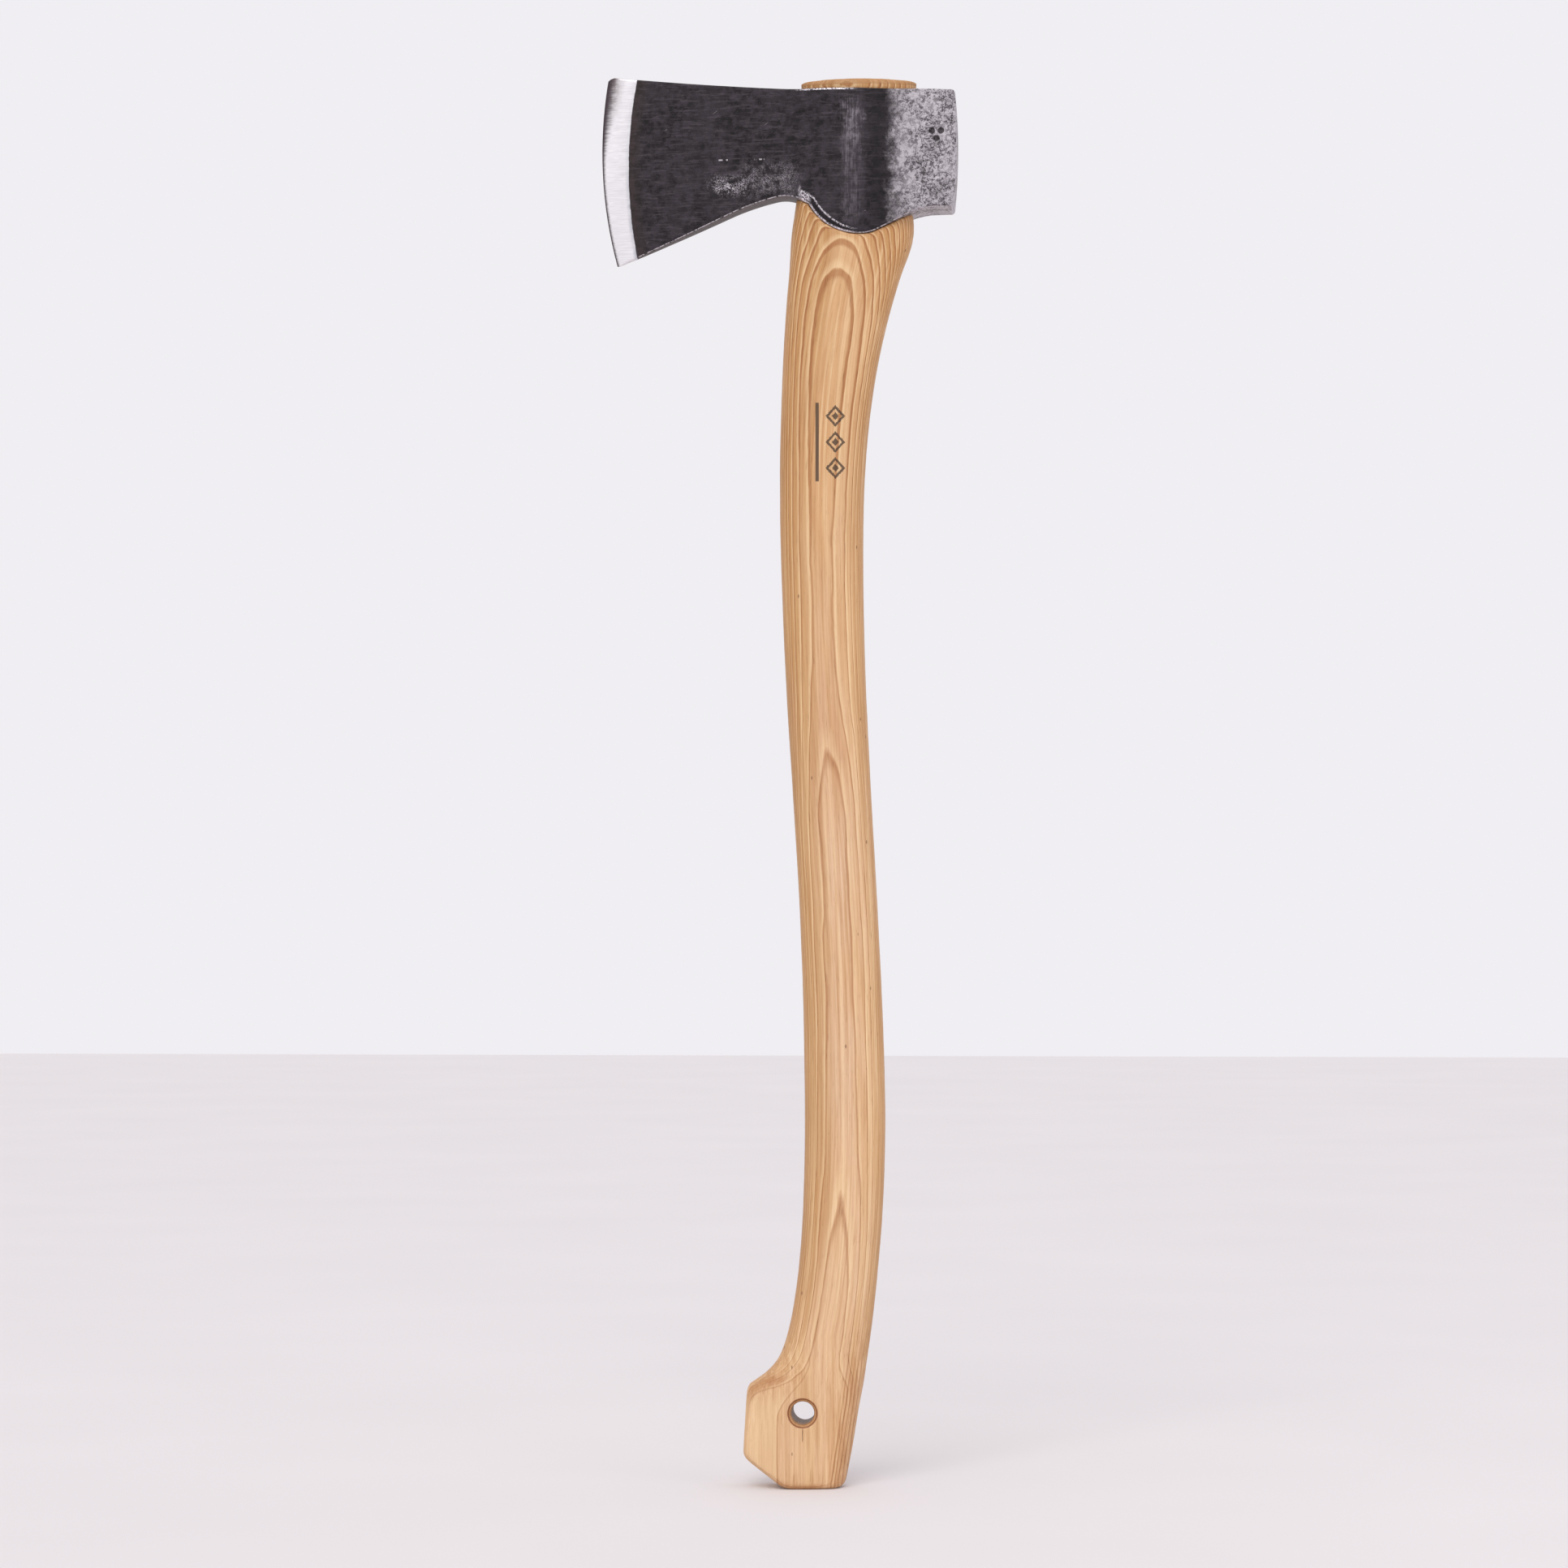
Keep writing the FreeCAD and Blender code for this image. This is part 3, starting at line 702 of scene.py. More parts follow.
class Graph:
    """Writes a material's or the world's nodes as nested calls, each of which returns an output."""

    def __init__(self, owner):
        self.owner = owner
        owner.use_nodes = True
        self.tree = owner.node_tree
        self.tree.nodes.clear()

    def feed(self, socket, value):
        """Link a socket to an output, or set its own value."""
        if isinstance(value, bpy.types.NodeSocket):
            self.tree.links.new(value, socket)
        elif value is not None:
            socket.default_value = value

    def add(self, kind, *inputs, **settings):
        """Add a node, with settings, and feed its inputs in order; None leaves one as it is."""
        node = self.tree.nodes.new("ShaderNode" + kind)
        for key, value in settings.items():
            setattr(node, key, value)
        for socket, value in zip(node.inputs, inputs):
            self.feed(socket, value)
        return node

    def place(self):
        """The point on the object, in millimetres."""
        spot = self.add("TexCoord").outputs["Object"]
        return self.add("VectorMath", spot, None, None, 1 / MM, operation="SCALE").outputs[0]

    def split(self, vector):
        """A vector's three numbers."""
        return self.add("SeparateXYZ", vector).outputs[:]

    def stretch(self, vector, factors):
        """A vector with each number scaled by its own factor."""
        return self.add("VectorMath", vector, factors, operation="MULTIPLY").outputs[0]

    def attribute(self, name):
        """A number painted on the mesh."""
        return self.add("Attribute", attribute_name=name).outputs["Fac"]

    def math(self, operation, *inputs):
        """One arithmetic step."""
        return self.add("Math", *inputs, operation=operation).outputs[0]

    def fold(self, operation, values):
        """One operation run over several numbers."""
        result = values[0]
        for value in values[1:]:
            result = self.math(operation, result, value)
        return result

    def total(self, *values):
        """The sum of several numbers."""
        return self.fold("ADD", values)

    def product(self, *values):
        """The product of several numbers."""
        return self.fold("MULTIPLY", values)

    def most(self, *values):
        """The largest of several numbers."""
        return self.fold("MAXIMUM", values)

    def less(self, value, taken):
        """One number less another."""
        return self.math("SUBTRACT", value, taken)

    def size(self, value):
        """A number without its sign."""
        return self.math("ABSOLUTE", value)

    def length(self, run, rise):
        """The distance that two steps at right angles make."""
        return self.math("SQRT", self.total(self.product(run, run), self.product(rise, rise)))

    def sway(self, value, reach):
        """A noise made to swing about zero over a reach."""
        return self.product(self.less(value, 0.5), reach)

    def step(self, value, low, high, start=0.0, end=1.0):
        """start below low, end above high and an S-curve between."""
        node = self.add("MapRange", value, low, high, start, end, interpolation_type="SMOOTHSTEP")
        return node.outputs[0]

    def window(self, value, low, high, soft):
        """1 between low and high, 0 outside, with soft ends."""
        rising = self.step(value, low - soft, low + soft)
        falling = self.step(value, high - soft, high + soft, 1.0, 0.0)
        return self.math("MULTIPLY", rising, falling)

    def area(self, across, up, spot):
        """1 inside a soft-edged box of the side view: a window across and a window up."""
        return self.product(self.window(across, *spot[0]), self.window(up, *spot[1]))

    def noise(self, vector, scale, detail=2.0, roughness=0.5):
        """Noise from 0 to 1."""
        return self.add("TexNoise", vector, None, scale, detail, roughness).outputs["Fac"]

    def drawn(self, vector, factors, detail=2.0, roughness=0.5):
        """Noise from 0 to 1 with its own scale along each axis."""
        return self.noise(self.stretch(vector, factors), 1.0, detail, roughness)

    def cells(self, vector, scale):
        """Distance to the nearest of scattered points."""
        return self.add("TexVoronoi", vector, None, scale).outputs["Distance"]

    def random(self, value):
        """A random number from 0 to 1 for each whole number."""
        return self.add("TexWhiteNoise", None, value, noise_dimensions="1D").outputs["Value"]

    def mixed(self, sockets, values, **settings):
        """A mixing node, fed with a share and its two inputs."""
        node = self.add("Mix", **settings)
        for number, value in zip(sockets[0], values):
            self.feed(node.inputs[number], value)
        return node.outputs[sockets[1]]

    def mix(self, share, low, high):
        """A colour between two colours."""
        return self.mixed(COLOUR_SOCKETS, (share, low, high), data_type="RGBA")

    def coat(self, base, share, *tone):
        """A colour with another, given by its display values, laid over it by a share."""
        return self.mix(share, base, colour(*tone))

    def stain(self, base, share, *tone):
        """A colour multiplied by another, given by its display values, by a share."""
        values = (share, base, colour(*tone))
        return self.mixed(COLOUR_SOCKETS, values, data_type="RGBA", blend_type="MULTIPLY")

    def blend(self, share, low, high):
        """A number between two numbers."""
        return self.mixed(NUMBER_SOCKETS, (share, low, high), data_type="FLOAT")

    def curve(self, value, points):
        """A smooth function through given points, each from 0 to 1."""
        node = self.add("FloatCurve", None, value)
        line = node.mapping.curves[0]
        line.points[0].location = points[0]
        line.points[-1].location = points[-1]
        for place in points[1:-1]:
            line.points.new(*place)
        node.mapping.update()
        return node.outputs[0]

    def finish(self, base, metallic, roughness, height, specular=0.5):
        """Join everything to one shader; the height is in millimetres."""
        bump = self.add("Bump", 1.0, MM, None, height)
        shader = self.add("BsdfPrincipled", base, metallic, roughness)
        self.feed(shader.inputs["Normal"], bump.outputs[0])
        shader.inputs["Specular IOR Level"].default_value = specular
        output = self.add("OutputMaterial")
        self.tree.links.new(shader.outputs[0], output.inputs[0])
        return self.owner


def material_graph(name):
    """A graph in a new material."""
    return Graph(bpy.data.materials.new(name))


def colour(red, green, blue):
    """A colour from its 0-255 display values."""
    linear = [((c / 255 + 0.055) / 1.055) ** 2.4 if c > 10 else c / 255 / 12.92 for c in (red, green, blue)]
    return (*linear, 1.0)


def inside_arc(g, across, up, arc):
    """How far a point lies behind an arc of the side view, in the material."""
    return g.less(arc[2], g.length(g.less(across, arc[0]), g.less(up, arc[1])))


def forge_scale(g, place, across, from_bevel, patch, grit, fine):
    """Forge scale: nearly black, mottled, drawn along the cheek, with a brown tint by the bevel and a
    painted shade band behind the eye swell.
    """
    cloud = g.noise(place, 0.05, 4.0, 0.6)
    drawn = g.drawn(place, (0.06, 0.6, 0.8), 5.0, 0.75)
    scale = g.mix(g.step(patch, 0.38, 0.64), colour(24, 20, 23), colour(56, 50, 56))
    scale = g.coat(scale, g.step(cloud, 0.4, 0.7, 0.0, 0.5), 56, 51, 56)
    scale = g.coat(scale, g.step(drawn, 0.48, 0.68, 0.0, 0.6), 84, 77, 84)
    scale = g.coat(scale, g.step(grit, 0.58, 0.76, 0.0, 0.5), 112, 105, 108)
    scale = g.coat(scale, g.step(fine, 0.3, 0.45, 0.7, 0.0), 14, 12, 13)
    heat = g.product(g.step(from_bevel, 9.0, 1.5), g.step(patch, 0.3, 0.6, 0.5, 1.0))
    scale = g.coat(scale, g.product(heat, 0.6), 58, 47, 44)
    # A darker upright band behind the eye swell: painted shade where the head's waist turns away from the
    # light.
    band = g.window(across, 32.0, 41.0, 4.0)
    return g.coat(scale, g.product(band, 0.55), 26, 23, 26)


def scraped_cheek(g, place, across, up, patch, grit):
    """How bright the cheek is scraped: a scuffed patch by the notch, dashes and stray scratches."""
    scuff = g.product(g.area(across, up, SCUFF), g.step(grit, 0.5, 0.6), g.step(patch, 0.4, 0.55))
    haze = g.product(g.area(across, up, HAZE), g.step(grit, 0.42, 0.66), g.step(patch, 0.38, 0.6), 0.4)
    groups = g.most(g.window(across, -54.0, -47.0, 0.5), g.window(across, -33.0, -27.5, 0.5))
    beat = g.drawn(place, (0.8, 0.1, 0.1), 2.0)
    dash = g.product(groups, g.window(up, 741.2, 741.9, 0.3), g.step(beat, 0.44, 0.54), 0.8)
    slanted = g.total(up, g.product(across, -0.7))
    along = g.total(across, g.product(up, 0.7))
    lines = g.add("CombineXYZ", g.product(along, 0.09), 0.0, g.product(slanted, 2.0)).outputs[0]
    scratch = g.product(g.step(g.noise(lines, 1.0, 1.0), 0.74, 0.8), g.step(patch, 0.45, 0.6), 0.45)
    return g.most(scuff, haze, dash, scratch)


def painted_ridge_highlight(g, place, across, up, patch, filed):
    """A painted highlight on the eye swell, where it faces the light: a ragged upright grey band, strongest
    at the top.
    """
    ragged = g.total(across, g.sway(patch, 12.0))
    spot = g.area(ragged, up, RIDGE_HIGHLIGHT)
    strong = g.step(up, 732.0, 768.0, 0.45, 1.15)
    blotch = g.step(g.noise(place, 0.3, 4.0, 0.7), 0.4, 0.58, 0.35, 1.0)
    return g.product(spot, strong, blotch, g.step(filed, 0.38, 0.6, 0.15, 1.0))


def poll_speckle_and_sheen(g, place, across, mottle):
    """The poll's brightness: a painted sheen at its shoulder, then hammer speckle with painted glints to
    its end.
    """
    torn = g.noise(place, 0.16, 4.0, 0.65)
    # Painted glints on the hammered peaks.
    painted_glint = g.noise(place, 1.1, 4.0, 0.8)
    ragged = g.total(across, g.sway(torn, 18.0))
    # A painted sheen on the poll's shoulder.
    sheen = g.product(g.step(ragged, 40.0, 52.0), g.step(mottle, 0.42, 0.56, 0.35, 1.0), 0.62)
    speckled = g.step(ragged, 40.0, 64.0)
    speckle = g.step(mottle, 0.47, 0.54, 0.1, 0.8)
    speckle = g.most(speckle, g.step(painted_glint, 0.56, 0.6, 0.0, 1.1))
    broad = g.noise(place, 0.07, 2.0)
    speckle = g.blend(g.step(broad, 0.46, 0.6, 0.0, 0.6), speckle, 0.55)
    sweep = g.step(broad, 0.35, 0.62, 0.6, 1.0)
    return g.product(g.blend(speckled, sheen, speckle), sweep)


def rims_worn_and_highlit(g, place, across, away, up, from_bevel, rim, under, grit):
    """How bright the rims are rubbed, with painted highlights along them, most of all along the front of
    the lugs.
    """
    chipped = g.step(g.noise(place, *CHIPS), 0.38, 0.55)
    on_side = g.step(g.size(away), 0.5, 1.5)
    seen = g.most(g.step(up, 762.0, 745.0), g.step(across, 44.0, 60.0))
    rubbed = g.product(g.window(rim, 0.15, 0.6, 0.2), chipped, g.step(from_bevel, 0.0, 2.0))
    line = g.product(rubbed, on_side, seen, 0.75)
    # The two bright lines along the front of each lug are partly ground bright steel and partly painted
    # highlight.
    front = g.window(across, -7.0, 22.0, 4.0)
    speckle = g.step(g.noise(place, *SPECKS), 0.42, 0.56)
    outer = g.product(g.window(rim, 0.2, 1.1, 0.3), front, speckle)
    widening = g.product(g.step(across, 6.0, 24.0), 1.6)
    edge = g.total(under, g.sway(grit, 1.4), widening)
    inner = g.product(g.window(edge, 3.7, 4.5, 0.35), front, speckle)
    start = g.product(g.window(across, -7.5, -2.0, 1.5), g.step(under, 5.5, 4.0), speckle)
    streak = g.product(g.area(across, up, NOTCH_STREAK), chipped, 0.6)
    return g.most(line, outer, inner, start, streak)


def ground_bevel(g, place, up, from_edge, from_bevel, patch):
    """The ground bevel: bright and cross-ground, with a grey lip, a stained toe and a burr line."""
    cross = g.drawn(place, (0.1, 0.1, 2.2), *STREAKS)
    ground = g.mix(g.step(cross, 0.3, 0.7), colour(216, 214, 217), colour(238, 236, 239))
    toe = g.product(g.step(up, 757.0, 786.0), g.step(g.noise(place, 0.25, 4.0, 0.7), 0.3, 0.6, 0.4, 1.0))
    ground = g.coat(ground, g.product(toe, g.step(from_edge, 12.0, 2.0), 0.85), 120, 104, 104)
    reach = g.product(g.step(up, 735.0, 778.0, 1.9, 7.5), g.step(cross, 0.25, 0.75, 0.5, 1.5))
    shade_in = g.step(g.math("DIVIDE", from_edge, reach), 0.1, 1.0, 1.0, 0.0)
    ground = g.coat(ground, shade_in, 72, 64, 68)
    burr_spot = g.product(g.step(from_bevel, -2.6, -0.2), g.step(up, 762.0, 700.0, 0.2, 0.8))
    burr = g.product(burr_spot, g.step(patch, 0.3, 0.6, 0.4, 1.0), g.step(cross, 0.3, 0.7, 0.6, 1.0))
    ground = g.coat(ground, g.product(burr, 0.75), 118, 122, 142)
    return ground, cross


def forged_steel():
    """Dark forge scale with a painted shade band, a ground bright bevel, steel worn bright on rims and
    poll, and painted highlights on the rims, the eye swell and the poll.
    """
    g = material_graph("forged_steel")
    place = g.place()
    across, away, up = g.split(place)
    from_edge = inside_arc(g, across, up, EDGE_ARC)
    from_bevel = inside_arc(g, across, up, BEVEL_ARC)
    patch = g.noise(place, *PATCH)
    grit = g.noise(place, *GRIT)
    fine = g.noise(place, *FINE_GRIT)
    mottle = g.noise(place, *MOTTLE)
    filed = g.drawn(place, FILED_ALONG, *STREAKS)
    rim = g.attribute("rim_mm")
    under = g.attribute("under_mm")

    scale = forge_scale(g, place, across, from_bevel, patch, grit, fine)
    # The eye swell's painted highlight, laid on as a paler grey.
    ridge_highlight = painted_ridge_highlight(g, place, across, up, patch, filed)
    scale = g.coat(scale, g.product(ridge_highlight, 0.62), 150, 141, 150)
    skin = g.step(rim, 0.1, 0.02)
    scale = g.coat(scale, g.product(skin, 0.6), 92, 80, 76)
    # The facet along the front of each lug is painted darker, as shade on a face turned from the light.
    facet = g.product(g.window(across, -5.0, 24.0, 3.0), g.window(under, 1.2, 3.4, 0.5))
    scale = g.coat(scale, g.product(facet, 0.6), 24, 21, 24)
    rims = rims_worn_and_highlit(g, place, across, away, up, from_bevel, rim, under, grit)
    cheek = g.product(scraped_cheek(g, place, across, up, patch, grit), 0.75)
    # Worn bright steel together with painted highlights: the rims' lines and the poll's sheen and glints.
    worn = g.most(rims, cheek, g.product(poll_speckle_and_sheen(g, place, across, mottle), 0.9))
    body = g.mix(worn, scale, colour(236, 229, 236))
    # The punch marks are painted darker, as shade in their hollows.
    body = g.stain(body, g.product(g.step(g.attribute("punched"), 0.05, 0.3), 0.9), 66, 60, 64)

    ground, cross = ground_bevel(g, place, up, from_edge, from_bevel, patch)
    ragged = g.total(from_bevel, g.sway(patch, 0.7))
    off_bevel = g.step(ragged, -0.25, 0.25)
    colours = g.mix(off_bevel, ground, body)
    metallic = g.blend(off_bevel, g.step(up, 690.0, 750.0, 0.4, 1.0), g.blend(worn, 0.5, 0.82))
    rough_scale = g.total(0.38, g.product(grit, 0.22), g.product(patch, 0.1))
    rough_body = g.blend(worn, rough_scale, g.total(0.28, g.product(grit, 0.16)))
    roughness = g.blend(off_bevel, g.total(0.3, g.product(cross, 0.12)), rough_body)
    pits = g.total(g.product(patch, 0.16), g.product(grit, 0.07), g.product(fine, 0.025))
    hammered = g.product(g.step(across, 40.0, 62.0), mottle, 0.46)
    pits = g.total(pits, g.product(ridge_highlight, filed, 0.08), hammered)
    height = g.blend(off_bevel, g.product(cross, 0.012), pits)
    return g.finish(colours, metallic, roughness, height, 0.35)


# How far the growth rings have shifted through the haft at each height: height, shift.
RING_SHIFT = [
    (0.0, 5.35), (50.0, 5.4), (78.0, 5.6), (120.0, 5.65), (140.0, 5.6), (163.0, 5.42), (182.0, 5.05),
    (204.0, 4.9), (296.0, 4.9), (361.0, 4.85), (395.0, 4.35), (413.0, 4.0), (440.0, 3.4), (520.0, 2.9),
    (600.0, 3.0), (644.0, 2.9), (665.0, 2.4), (680.0, 1.5), (698.0, 0.0), (720.0, -1.4), (800.0, -3.4),
]
SHIFT_SPAN = 12.0
SHIFT_LOW = -4.0
HAFT_SPAN = 800.0
RING_GAP = 1.4


def grain_place(g, place):
    """The point on the wood, measured across from the handle's own middle line."""
    _, away, up = g.split(place)
    return g.add("CombineXYZ", g.attribute("off_middle"), away, up).outputs[0]


def knob_bow(g, across, up):
    """How far the rings bow with the knob's broad faces, so that they only run out at its edges."""
    middle = g.total(g.product(up, 0.28), -22.4)
    offset = g.less(across, middle)
    strength = g.step(up, 15.0, 55.0, 0.0024, 0.0033)
    return g.product(strength, offset, offset)


def ring_field(g, place):
    """The growth rings as a rising count through the wood, nearly flat and parallel to its sides."""
    across, _, up = g.split(place)
    away = g.attribute("eased_away")
    grain = grain_place(g, place)
    points = [(z / HAFT_SPAN, (shift - SHIFT_LOW) / SHIFT_SPAN) for z, shift in RING_SHIFT]
    shift = g.curve(g.math("DIVIDE", up, HAFT_SPAN), points)
    shift = g.total(g.product(shift, SHIFT_SPAN), SHIFT_LOW)
    offset = g.less(across, 10.0)
    bow = g.blend(g.step(up, 54.0, 76.0), knob_bow(g, across, up), g.product(offset, offset, -0.0015))
    lean = g.product(g.step(up, 640.0, 705.0), g.less(across, 18.0), -0.05)
    slow = g.drawn(grain, (0.045, 0.045, 0.009), 2.0)
    quick = g.drawn(grain, (0.14, 0.14, 0.012), 1.0)
    warp = g.total(g.product(slow, 1.1), g.product(quick, 0.3), -0.7)
    depth = g.total(g.math("MULTIPLY", away, -1.0), shift, bow, lean, warp, -14.2)
    return g.math("DIVIDE", depth, RING_GAP)


def brand_mark(g, across, away, up):
    """A plain burned mark: three lozenges in a row beside a rule."""
    wander = g.product(g.noise(g.place(), 1.2, 2.0), 0.3)
    lozenges = []
    for height in LOZENGE_HEIGHTS:
        run = g.product(g.size(g.less(across, LOZENGE_X)), 1 / LOZENGE_HALF[0])
        rise = g.product(g.size(g.less(up, height)), 1 / LOZENGE_HALF[1])
        reach = g.total(run, rise, wander)
        lozenges += [g.window(reach, 0.86, 1.2, 0.04), g.step(reach, 0.56, 0.5)]
    return g.product(g.most(*lozenges, g.area(across, up, RULE)), g.step(away, 0.0, -2.0))


def ringed_wood(g, place, up, rings):
    """The wood's colours: each ring's tone, its pore band, fibre, pores and flecks, with painted shade
    along its sides.
    """
    part = g.math("FRACT", rings)
    tone = g.random(g.math("FLOOR", rings))
    grain = grain_place(g, place)
    fibre = g.drawn(grain, (1.1, 1.1, 0.02), 4.0, 0.6)
    thread = g.drawn(grain, (3.2, 3.2, 0.09), 2.0, 0.6)
    cloud = g.drawn(grain, (0.06, 0.06, 0.012), 3.0)
    blush = g.drawn(grain, (0.16, 0.16, 0.01), 3.0, 0.6)
    streak = g.drawn(grain, (0.5, 0.5, 0.005), 2.0, 0.5)

    wood = g.mix(tone, colour(220, 180, 136), colour(229, 193, 156))
    wood = g.coat(wood, g.step(up, 460.0, 620.0, 0.0, 0.5), 210, 162, 108)
    centre = g.product(g.window(up, 200.0, 500.0, 60.0), g.step(rings, 0.0, 2.0), 0.55)
    wood = g.coat(wood, centre, 228, 194, 164)
    # Darker ochre where the rings run out towards the sides: partly the wood's own tone, partly painted
    # shade of the sides turning from the light.
    wood = g.coat(wood, g.step(rings, 1.0, -4.0, 0.0, 0.85), 192, 142, 86)
    wood = g.coat(wood, g.step(cloud, 0.35, 0.68, 0.0, 0.6), 216, 170, 120)
    wood = g.coat(wood, g.step(streak, 0.52, 0.68, 0.0, 0.5), 238, 206, 162)
    wood = g.coat(wood, g.step(streak, 0.48, 0.32, 0.0, 0.38), 194, 144, 94)
    off_middle = g.attribute("off_middle")
    # The left side of the handle is painted darker, as shade of the side turned from the light.
    front = g.product(g.step(off_middle, -1.0, -11.0), g.step(up, 80.0, 150.0, 0.3, 1.0))
    wood = g.stain(wood, front, 236, 229, 214)
    clear = g.step(up, 40.0, 90.0, 0.3, 1.0)
    wood = g.coat(wood, g.product(g.step(part, 0.66, 0.97), clear, 0.55), 242, 212, 168)
    core = g.product(g.window(up, 372.0, 470.0, 34.0), g.step(rings, 0.8, 1.6), g.step(blush, 0.4, 0.62))
    wood = g.coat(wood, g.product(core, 0.35), 200, 152, 120)
    wood = g.coat(wood, g.step(blush, 0.5, 0.75, 0.0, 0.3), 216, 170, 132)

    # Each ring starts with a band of brown pores that fades into the dense wood.
    reach = g.step(up, 480.0, 640.0, 0.2, 0.32)
    band = g.product(g.step(part, 0.0, 0.06), g.step(g.less(part, reach), 0.0, -0.14))
    sides = g.step(g.size(off_middle), 4.0, 12.0, 0.0, 0.2)
    strength = g.total(g.step(up, 460.0, 620.0, 0.55, 0.7), sides)
    strength = g.product(strength, g.step(up, 50.0, 90.0, 0.55, 1.0))
    wood = g.coat(wood, g.product(band, strength), 172, 116, 70)
    wood = g.stain(wood, g.step(fibre, 0.35, 0.72, 0.0, 0.62), 224, 206, 184)
    pore = g.step(thread, 0.6, 0.7)
    wood = g.stain(wood, g.product(pore, g.blend(band, 0.35, 0.8)), 180, 150, 122)
    fleck_cells = g.cells(g.stretch(place, (0.12, 0.12, 0.045)), 1.0)
    wood = g.coat(wood, g.product(g.step(fleck_cells, 0.07, 0.03), 0.8), 112, 76, 46)
    relief = g.total(g.product(fibre, 0.03), g.product(pore, -0.02), g.product(band, -0.035))
    return wood, fibre, relief


def knob_colours(g, place, across, up, wood):
    """The knob's edges painted darker as shade, the pale wood at its front, the hole's mouth, its bore
    painted darker as shade and the check below it.
    """
    # Rounded edges painted darker, as shade, most on the left.
    wear = g.product(g.attribute("edge_shade"), g.step(across, 0.0, 10.0, 0.55, 0.12))
    wood = g.stain(wood, wear, 196, 152, 98)
    drift = g.product(g.drawn(place, (0.1, 0.1, 0.05), 1.0), 1.5)
    sap_line = g.total(across, drift, g.step(up, 38.0, 72.0, 19.6, 1.2))
    pale = g.product(g.step(sap_line, 0.3, -0.3), g.step(up, 58.0, 42.0))
    wood = g.coat(wood, g.product(pale, 0.4), 238, 208, 166)
    line = g.product(g.window(sap_line, 0.1, 0.8, 0.35), g.step(up, 84.0, 66.0), 0.4)
    wood = g.stain(wood, line, 188, 146, 104)
    inward = g.total(across, g.product(drift, 0.5), g.product(up, -0.14))
    part = g.math("FRACT", g.math("DIVIDE", inward, 1.9))
    stripe = g.product(g.step(part, 0.0, 0.12), g.step(part, 0.6, 0.15))
    stripe = g.product(stripe, g.window(inward, 8.5, 18.5, 2.0), g.step(up, 100.0, 60.0), 0.6)
    wood = g.stain(wood, stripe, 186, 140, 92)
    from_hole = g.length(g.less(across, HOLE[0]), g.less(up, HOLE[1]))
    mouth = g.window(from_hole, HOLE_RADIUS + 1.2, HOLE_RADIUS + 1.95, 0.25)
    wood = g.stain(wood, g.product(mouth, 0.85), 170, 124, 76)
    # The inside of the hole painted darker, as shade.
    bore_shade = g.step(from_hole, HOLE_RADIUS + 0.5, HOLE_RADIUS - 0.3)
    wood = g.stain(wood, g.product(bore_shade, 0.9), 150, 118, 82)
    check_line = g.total(across, g.product(g.noise(place, 0.6, 2.0), 0.8), -HOLE[0] - 0.4)
    length = g.window(up, HOLE[1] - 15.5, HOLE[1] - 8.8, 1.0)
    crack = g.product(g.window(check_line, -0.14, 0.14, 0.12), length)
    return g.coat(wood, g.product(crack, 0.85), 92, 58, 38), crack


def hickory(name):
    """Oiled hickory with a burned mark, and rough-sawn at its top."""
    g = material_graph(name)
    place = g.place()
    across, away, up = g.split(place)
    rings = ring_field(g, place)
    wood, fibre, relief = ringed_wood(g, place, up, rings)
    wood, crack = knob_colours(g, place, across, up, wood)
    mark = brand_mark(g, across, away, up)
    wood = g.coat(wood, g.product(mark, 0.86), 58, 44, 36)

    # Above the head the tongue is left rough from the saw.
    sawn = g.step(up, SAWN_ABOVE - 0.4, SAWN_ABOVE + 0.4)
    saw = g.drawn(place, (0.22, 2.4, 0.4), 3.0, 0.7)
    rough_wood = g.mix(saw, colour(160, 114, 74), colour(206, 160, 114))
    wood = g.mix(g.product(sawn, 0.75), wood, rough_wood)
    roughness = g.total(0.4, g.product(fibre, 0.14), g.product(sawn, 0.25))
    relief = g.total(relief, g.product(mark, -0.08), g.product(crack, -0.3), g.product(sawn, saw, 0.25))
    return g.finish(wood, 0.0, roughness, relief, 0.4)


def wedge_steel():
    """Dark drawn steel with a bright struck top."""
    g = material_graph("struck_steel")
    place = g.place()
    up = g.split(place)[2]
    drawn = g.drawn(place, (1.4, 1.4, 0.15), 3.0, 0.6)
    struck = g.noise(place, 1.1, 3.0, 0.7)
    steel = g.mix(drawn, colour(58, 54, 54), colour(104, 100, 100))
    top = g.product(g.step(up, 785.4, 786.0), g.step(struck, 0.35, 0.6))
    steel = g.coat(steel, top, 168, 164, 162)
    roughness = g.total(0.34, g.product(struck, 0.25))
    return g.finish(steel, 0.9, roughness, g.product(struck, 0.12))


def floor_paper():
    """Pale matt paper with a faint tooth."""
    g = material_graph("floor_paper")
    place = g.place()
    tooth = g.noise(place, 0.8, 3.0)
    drift = g.noise(place, 0.004, 2.0)
    paper = g.mix(drift, colour(222, 218, 219), colour(228, 224, 225))
    return g.finish(paper, 0.0, 0.85, g.product(tooth, 0.02), 0.2)


# ---- the stage

def make_floor():
    """A wide flat pale floor under the butt."""
    mesh = bpy.data.meshes.new("floor")
    edit(mesh, lambda work: bmesh.ops.create_grid(work, x_segments=24, y_segments=24, size=FLOOR_REACH))
    floor = placed("floor", mesh)
    floor.location.z = CAD_BOX[0].z
    floor.data.materials.append(floor_paper())


def aim(thing, target):
    """Turn an object so that its -Z axis points at the target."""
    way = Vector(target) - thing.location
    thing.rotation_mode = "QUATERNION"
    thing.rotation_quaternion = way.to_track_quat("-Z", "Y")


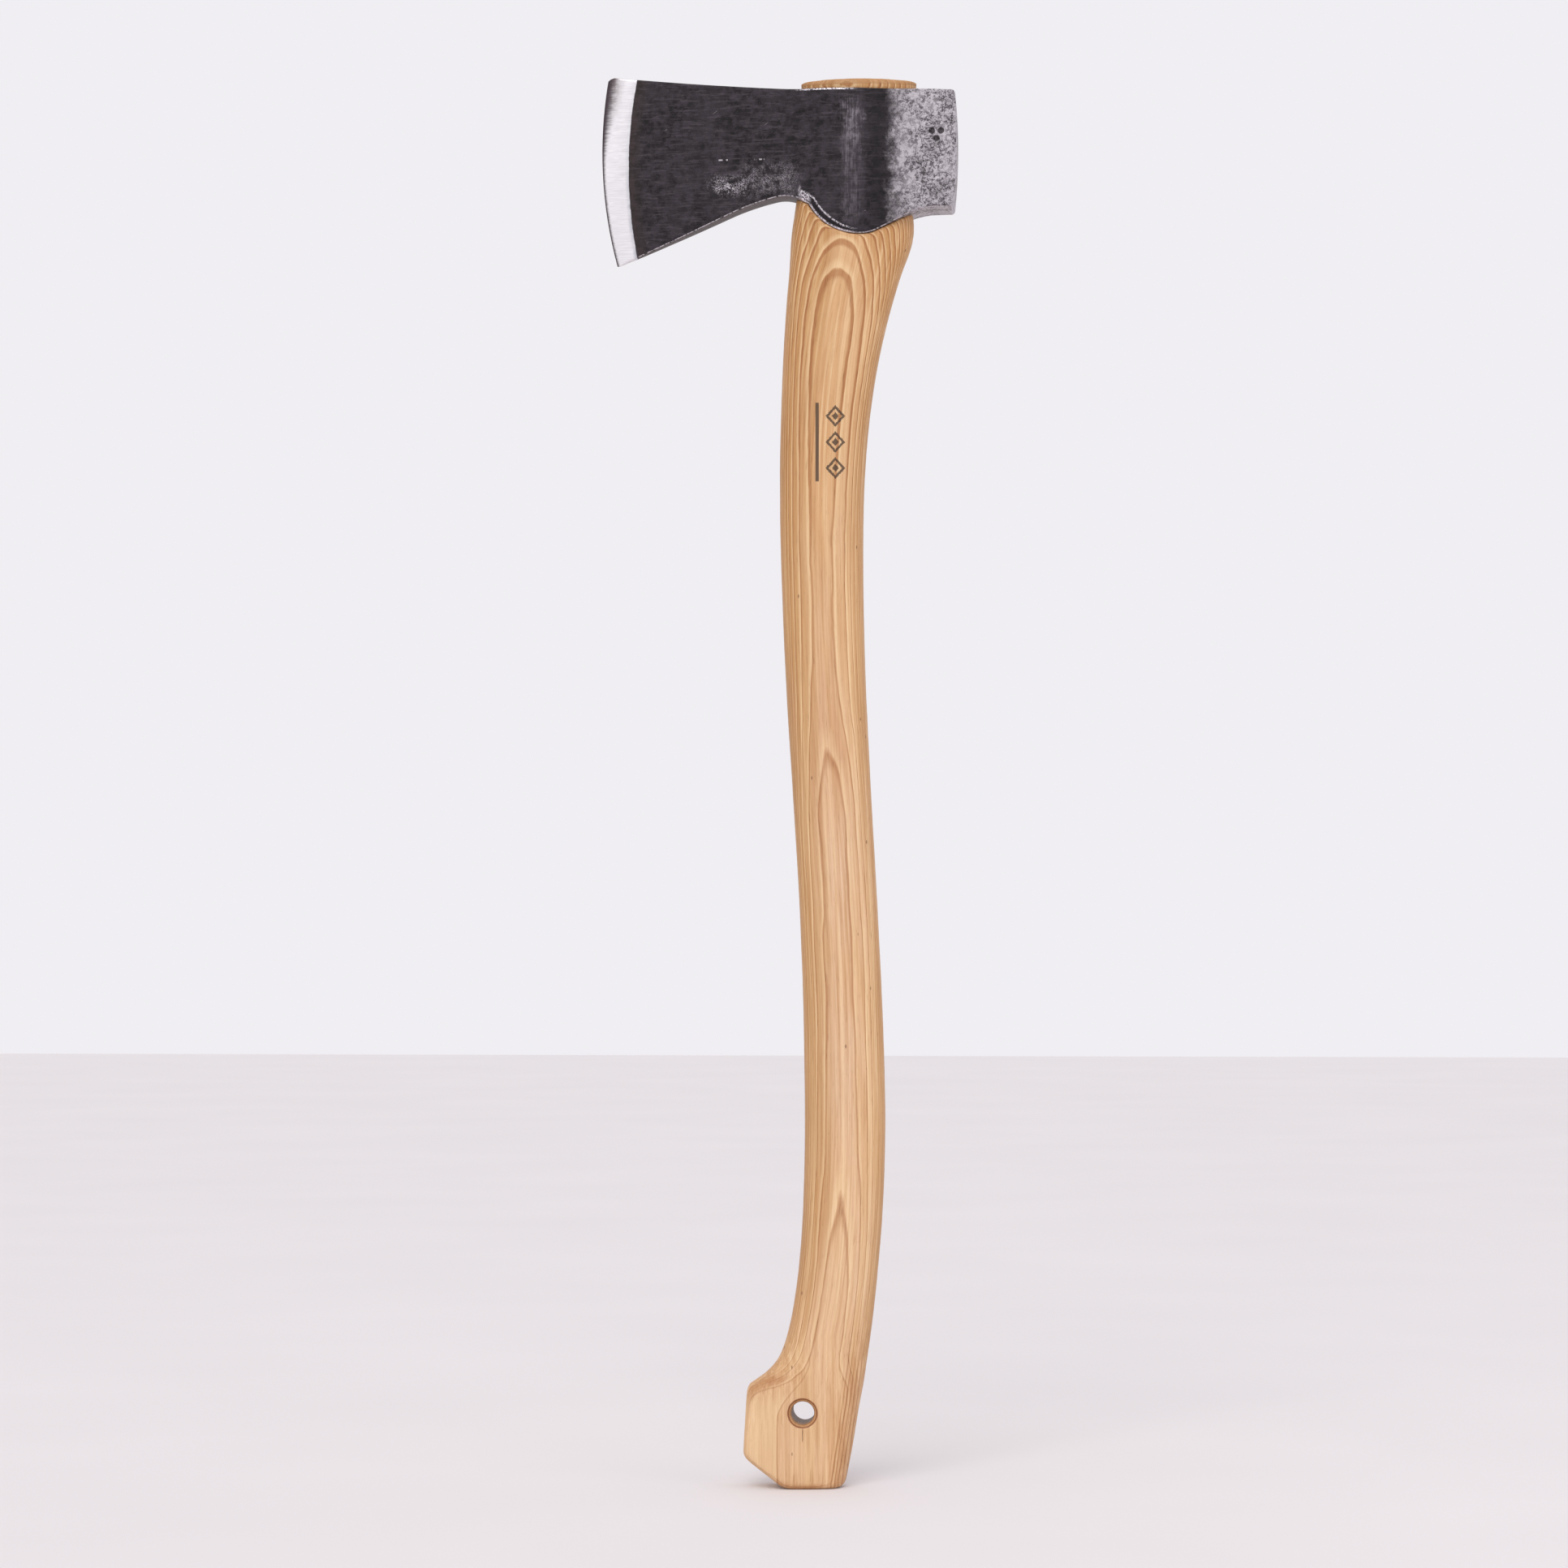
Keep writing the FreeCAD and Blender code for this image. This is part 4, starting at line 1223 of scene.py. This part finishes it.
def put_lamp(name, kind, place, power, tone):
    """A lamp turned to the middle of the axe."""
    lamp = bpy.data.lights.new(name, kind)
    lamp.energy = power
    lamp.color = tone
    thing = placed(name, lamp)
    thing.location = place
    aim(thing, LIT_MIDDLE)
    return lamp


def soft_box(name, place, size, power, tone):
    """A soft light of a given width and height."""
    lamp = put_lamp(name, "AREA", place, power, tone)
    lamp.shape = "RECTANGLE"
    lamp.size, lamp.size_y = size


def light_room():
    """A pale studio, brightest behind the axe, with a soft sun and two soft boxes at the front."""
    world = bpy.data.worlds.new("studio")
    bpy.context.scene.world = world
    g = Graph(world)
    ahead = g.split(g.add("TexCoord").outputs["Generated"])[1]
    brighter = g.add("MapRange", ahead, -0.6, 0.4).outputs[0]
    sky = g.add("Background", g.mix(brighter, colour(212, 210, 214), colour(240, 238, 242)))
    g.add("OutputWorld", sky.outputs[0])
    sun = put_lamp("sun", "SUN", SUN_PLACE, 1.2, (1.0, 0.985, 0.965))
    sun.angle = math.radians(35)
    soft_box("key", KEY_PLACE, (1.4, 1.4), 3.5, (1.0, 0.99, 0.97))
    soft_box("fill", FILL_PLACE, (1.2, 1.6), 6.0, (0.96, 0.98, 1.0))


def make_camera():
    """A camera at the viewing angle, a little to the right of square on and just below the middle."""
    low, high = CAD_BOX
    target = Vector(((low.x + high.x) / 2, 0.0, (low.z + high.z) / 2)) + Vector(VIEW_SHIFT)
    azimuth = math.radians(VIEW_AZIMUTH)
    elevation = math.radians(VIEW_ELEVATION)
    level = math.cos(elevation)
    back = Vector((math.sin(azimuth) * level, -math.cos(azimuth) * level, math.sin(elevation)))
    lens = bpy.data.cameras.new("camera")
    lens.sensor_width = SENSOR
    lens.lens = LENS
    camera = placed("camera", lens)
    camera.location = target + back * VIEW_DISTANCE
    aim(camera, target)
    bpy.context.scene.camera = camera


# ---- the axe

def put_on(piece, node, material):
    """Finish a piece: it rides on the one body, stands for its CAD node and takes its material."""
    piece.data.materials.clear()
    piece.data.materials.append(material)
    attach(piece, "root")
    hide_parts(node)


make_camera()
light_room()
make_floor()
put_on(make_head(), "axe_head", forged_steel())
put_on(make_haft(), "haft", hickory("hickory"))
put_on(make_wooden_wedge(), "wooden_wedge", hickory("wedge_wood"))
put_on(make_steel_wedge(), "steel_wedge", wedge_steel())
bpy.context.scene.view_settings.view_transform = "Standard"
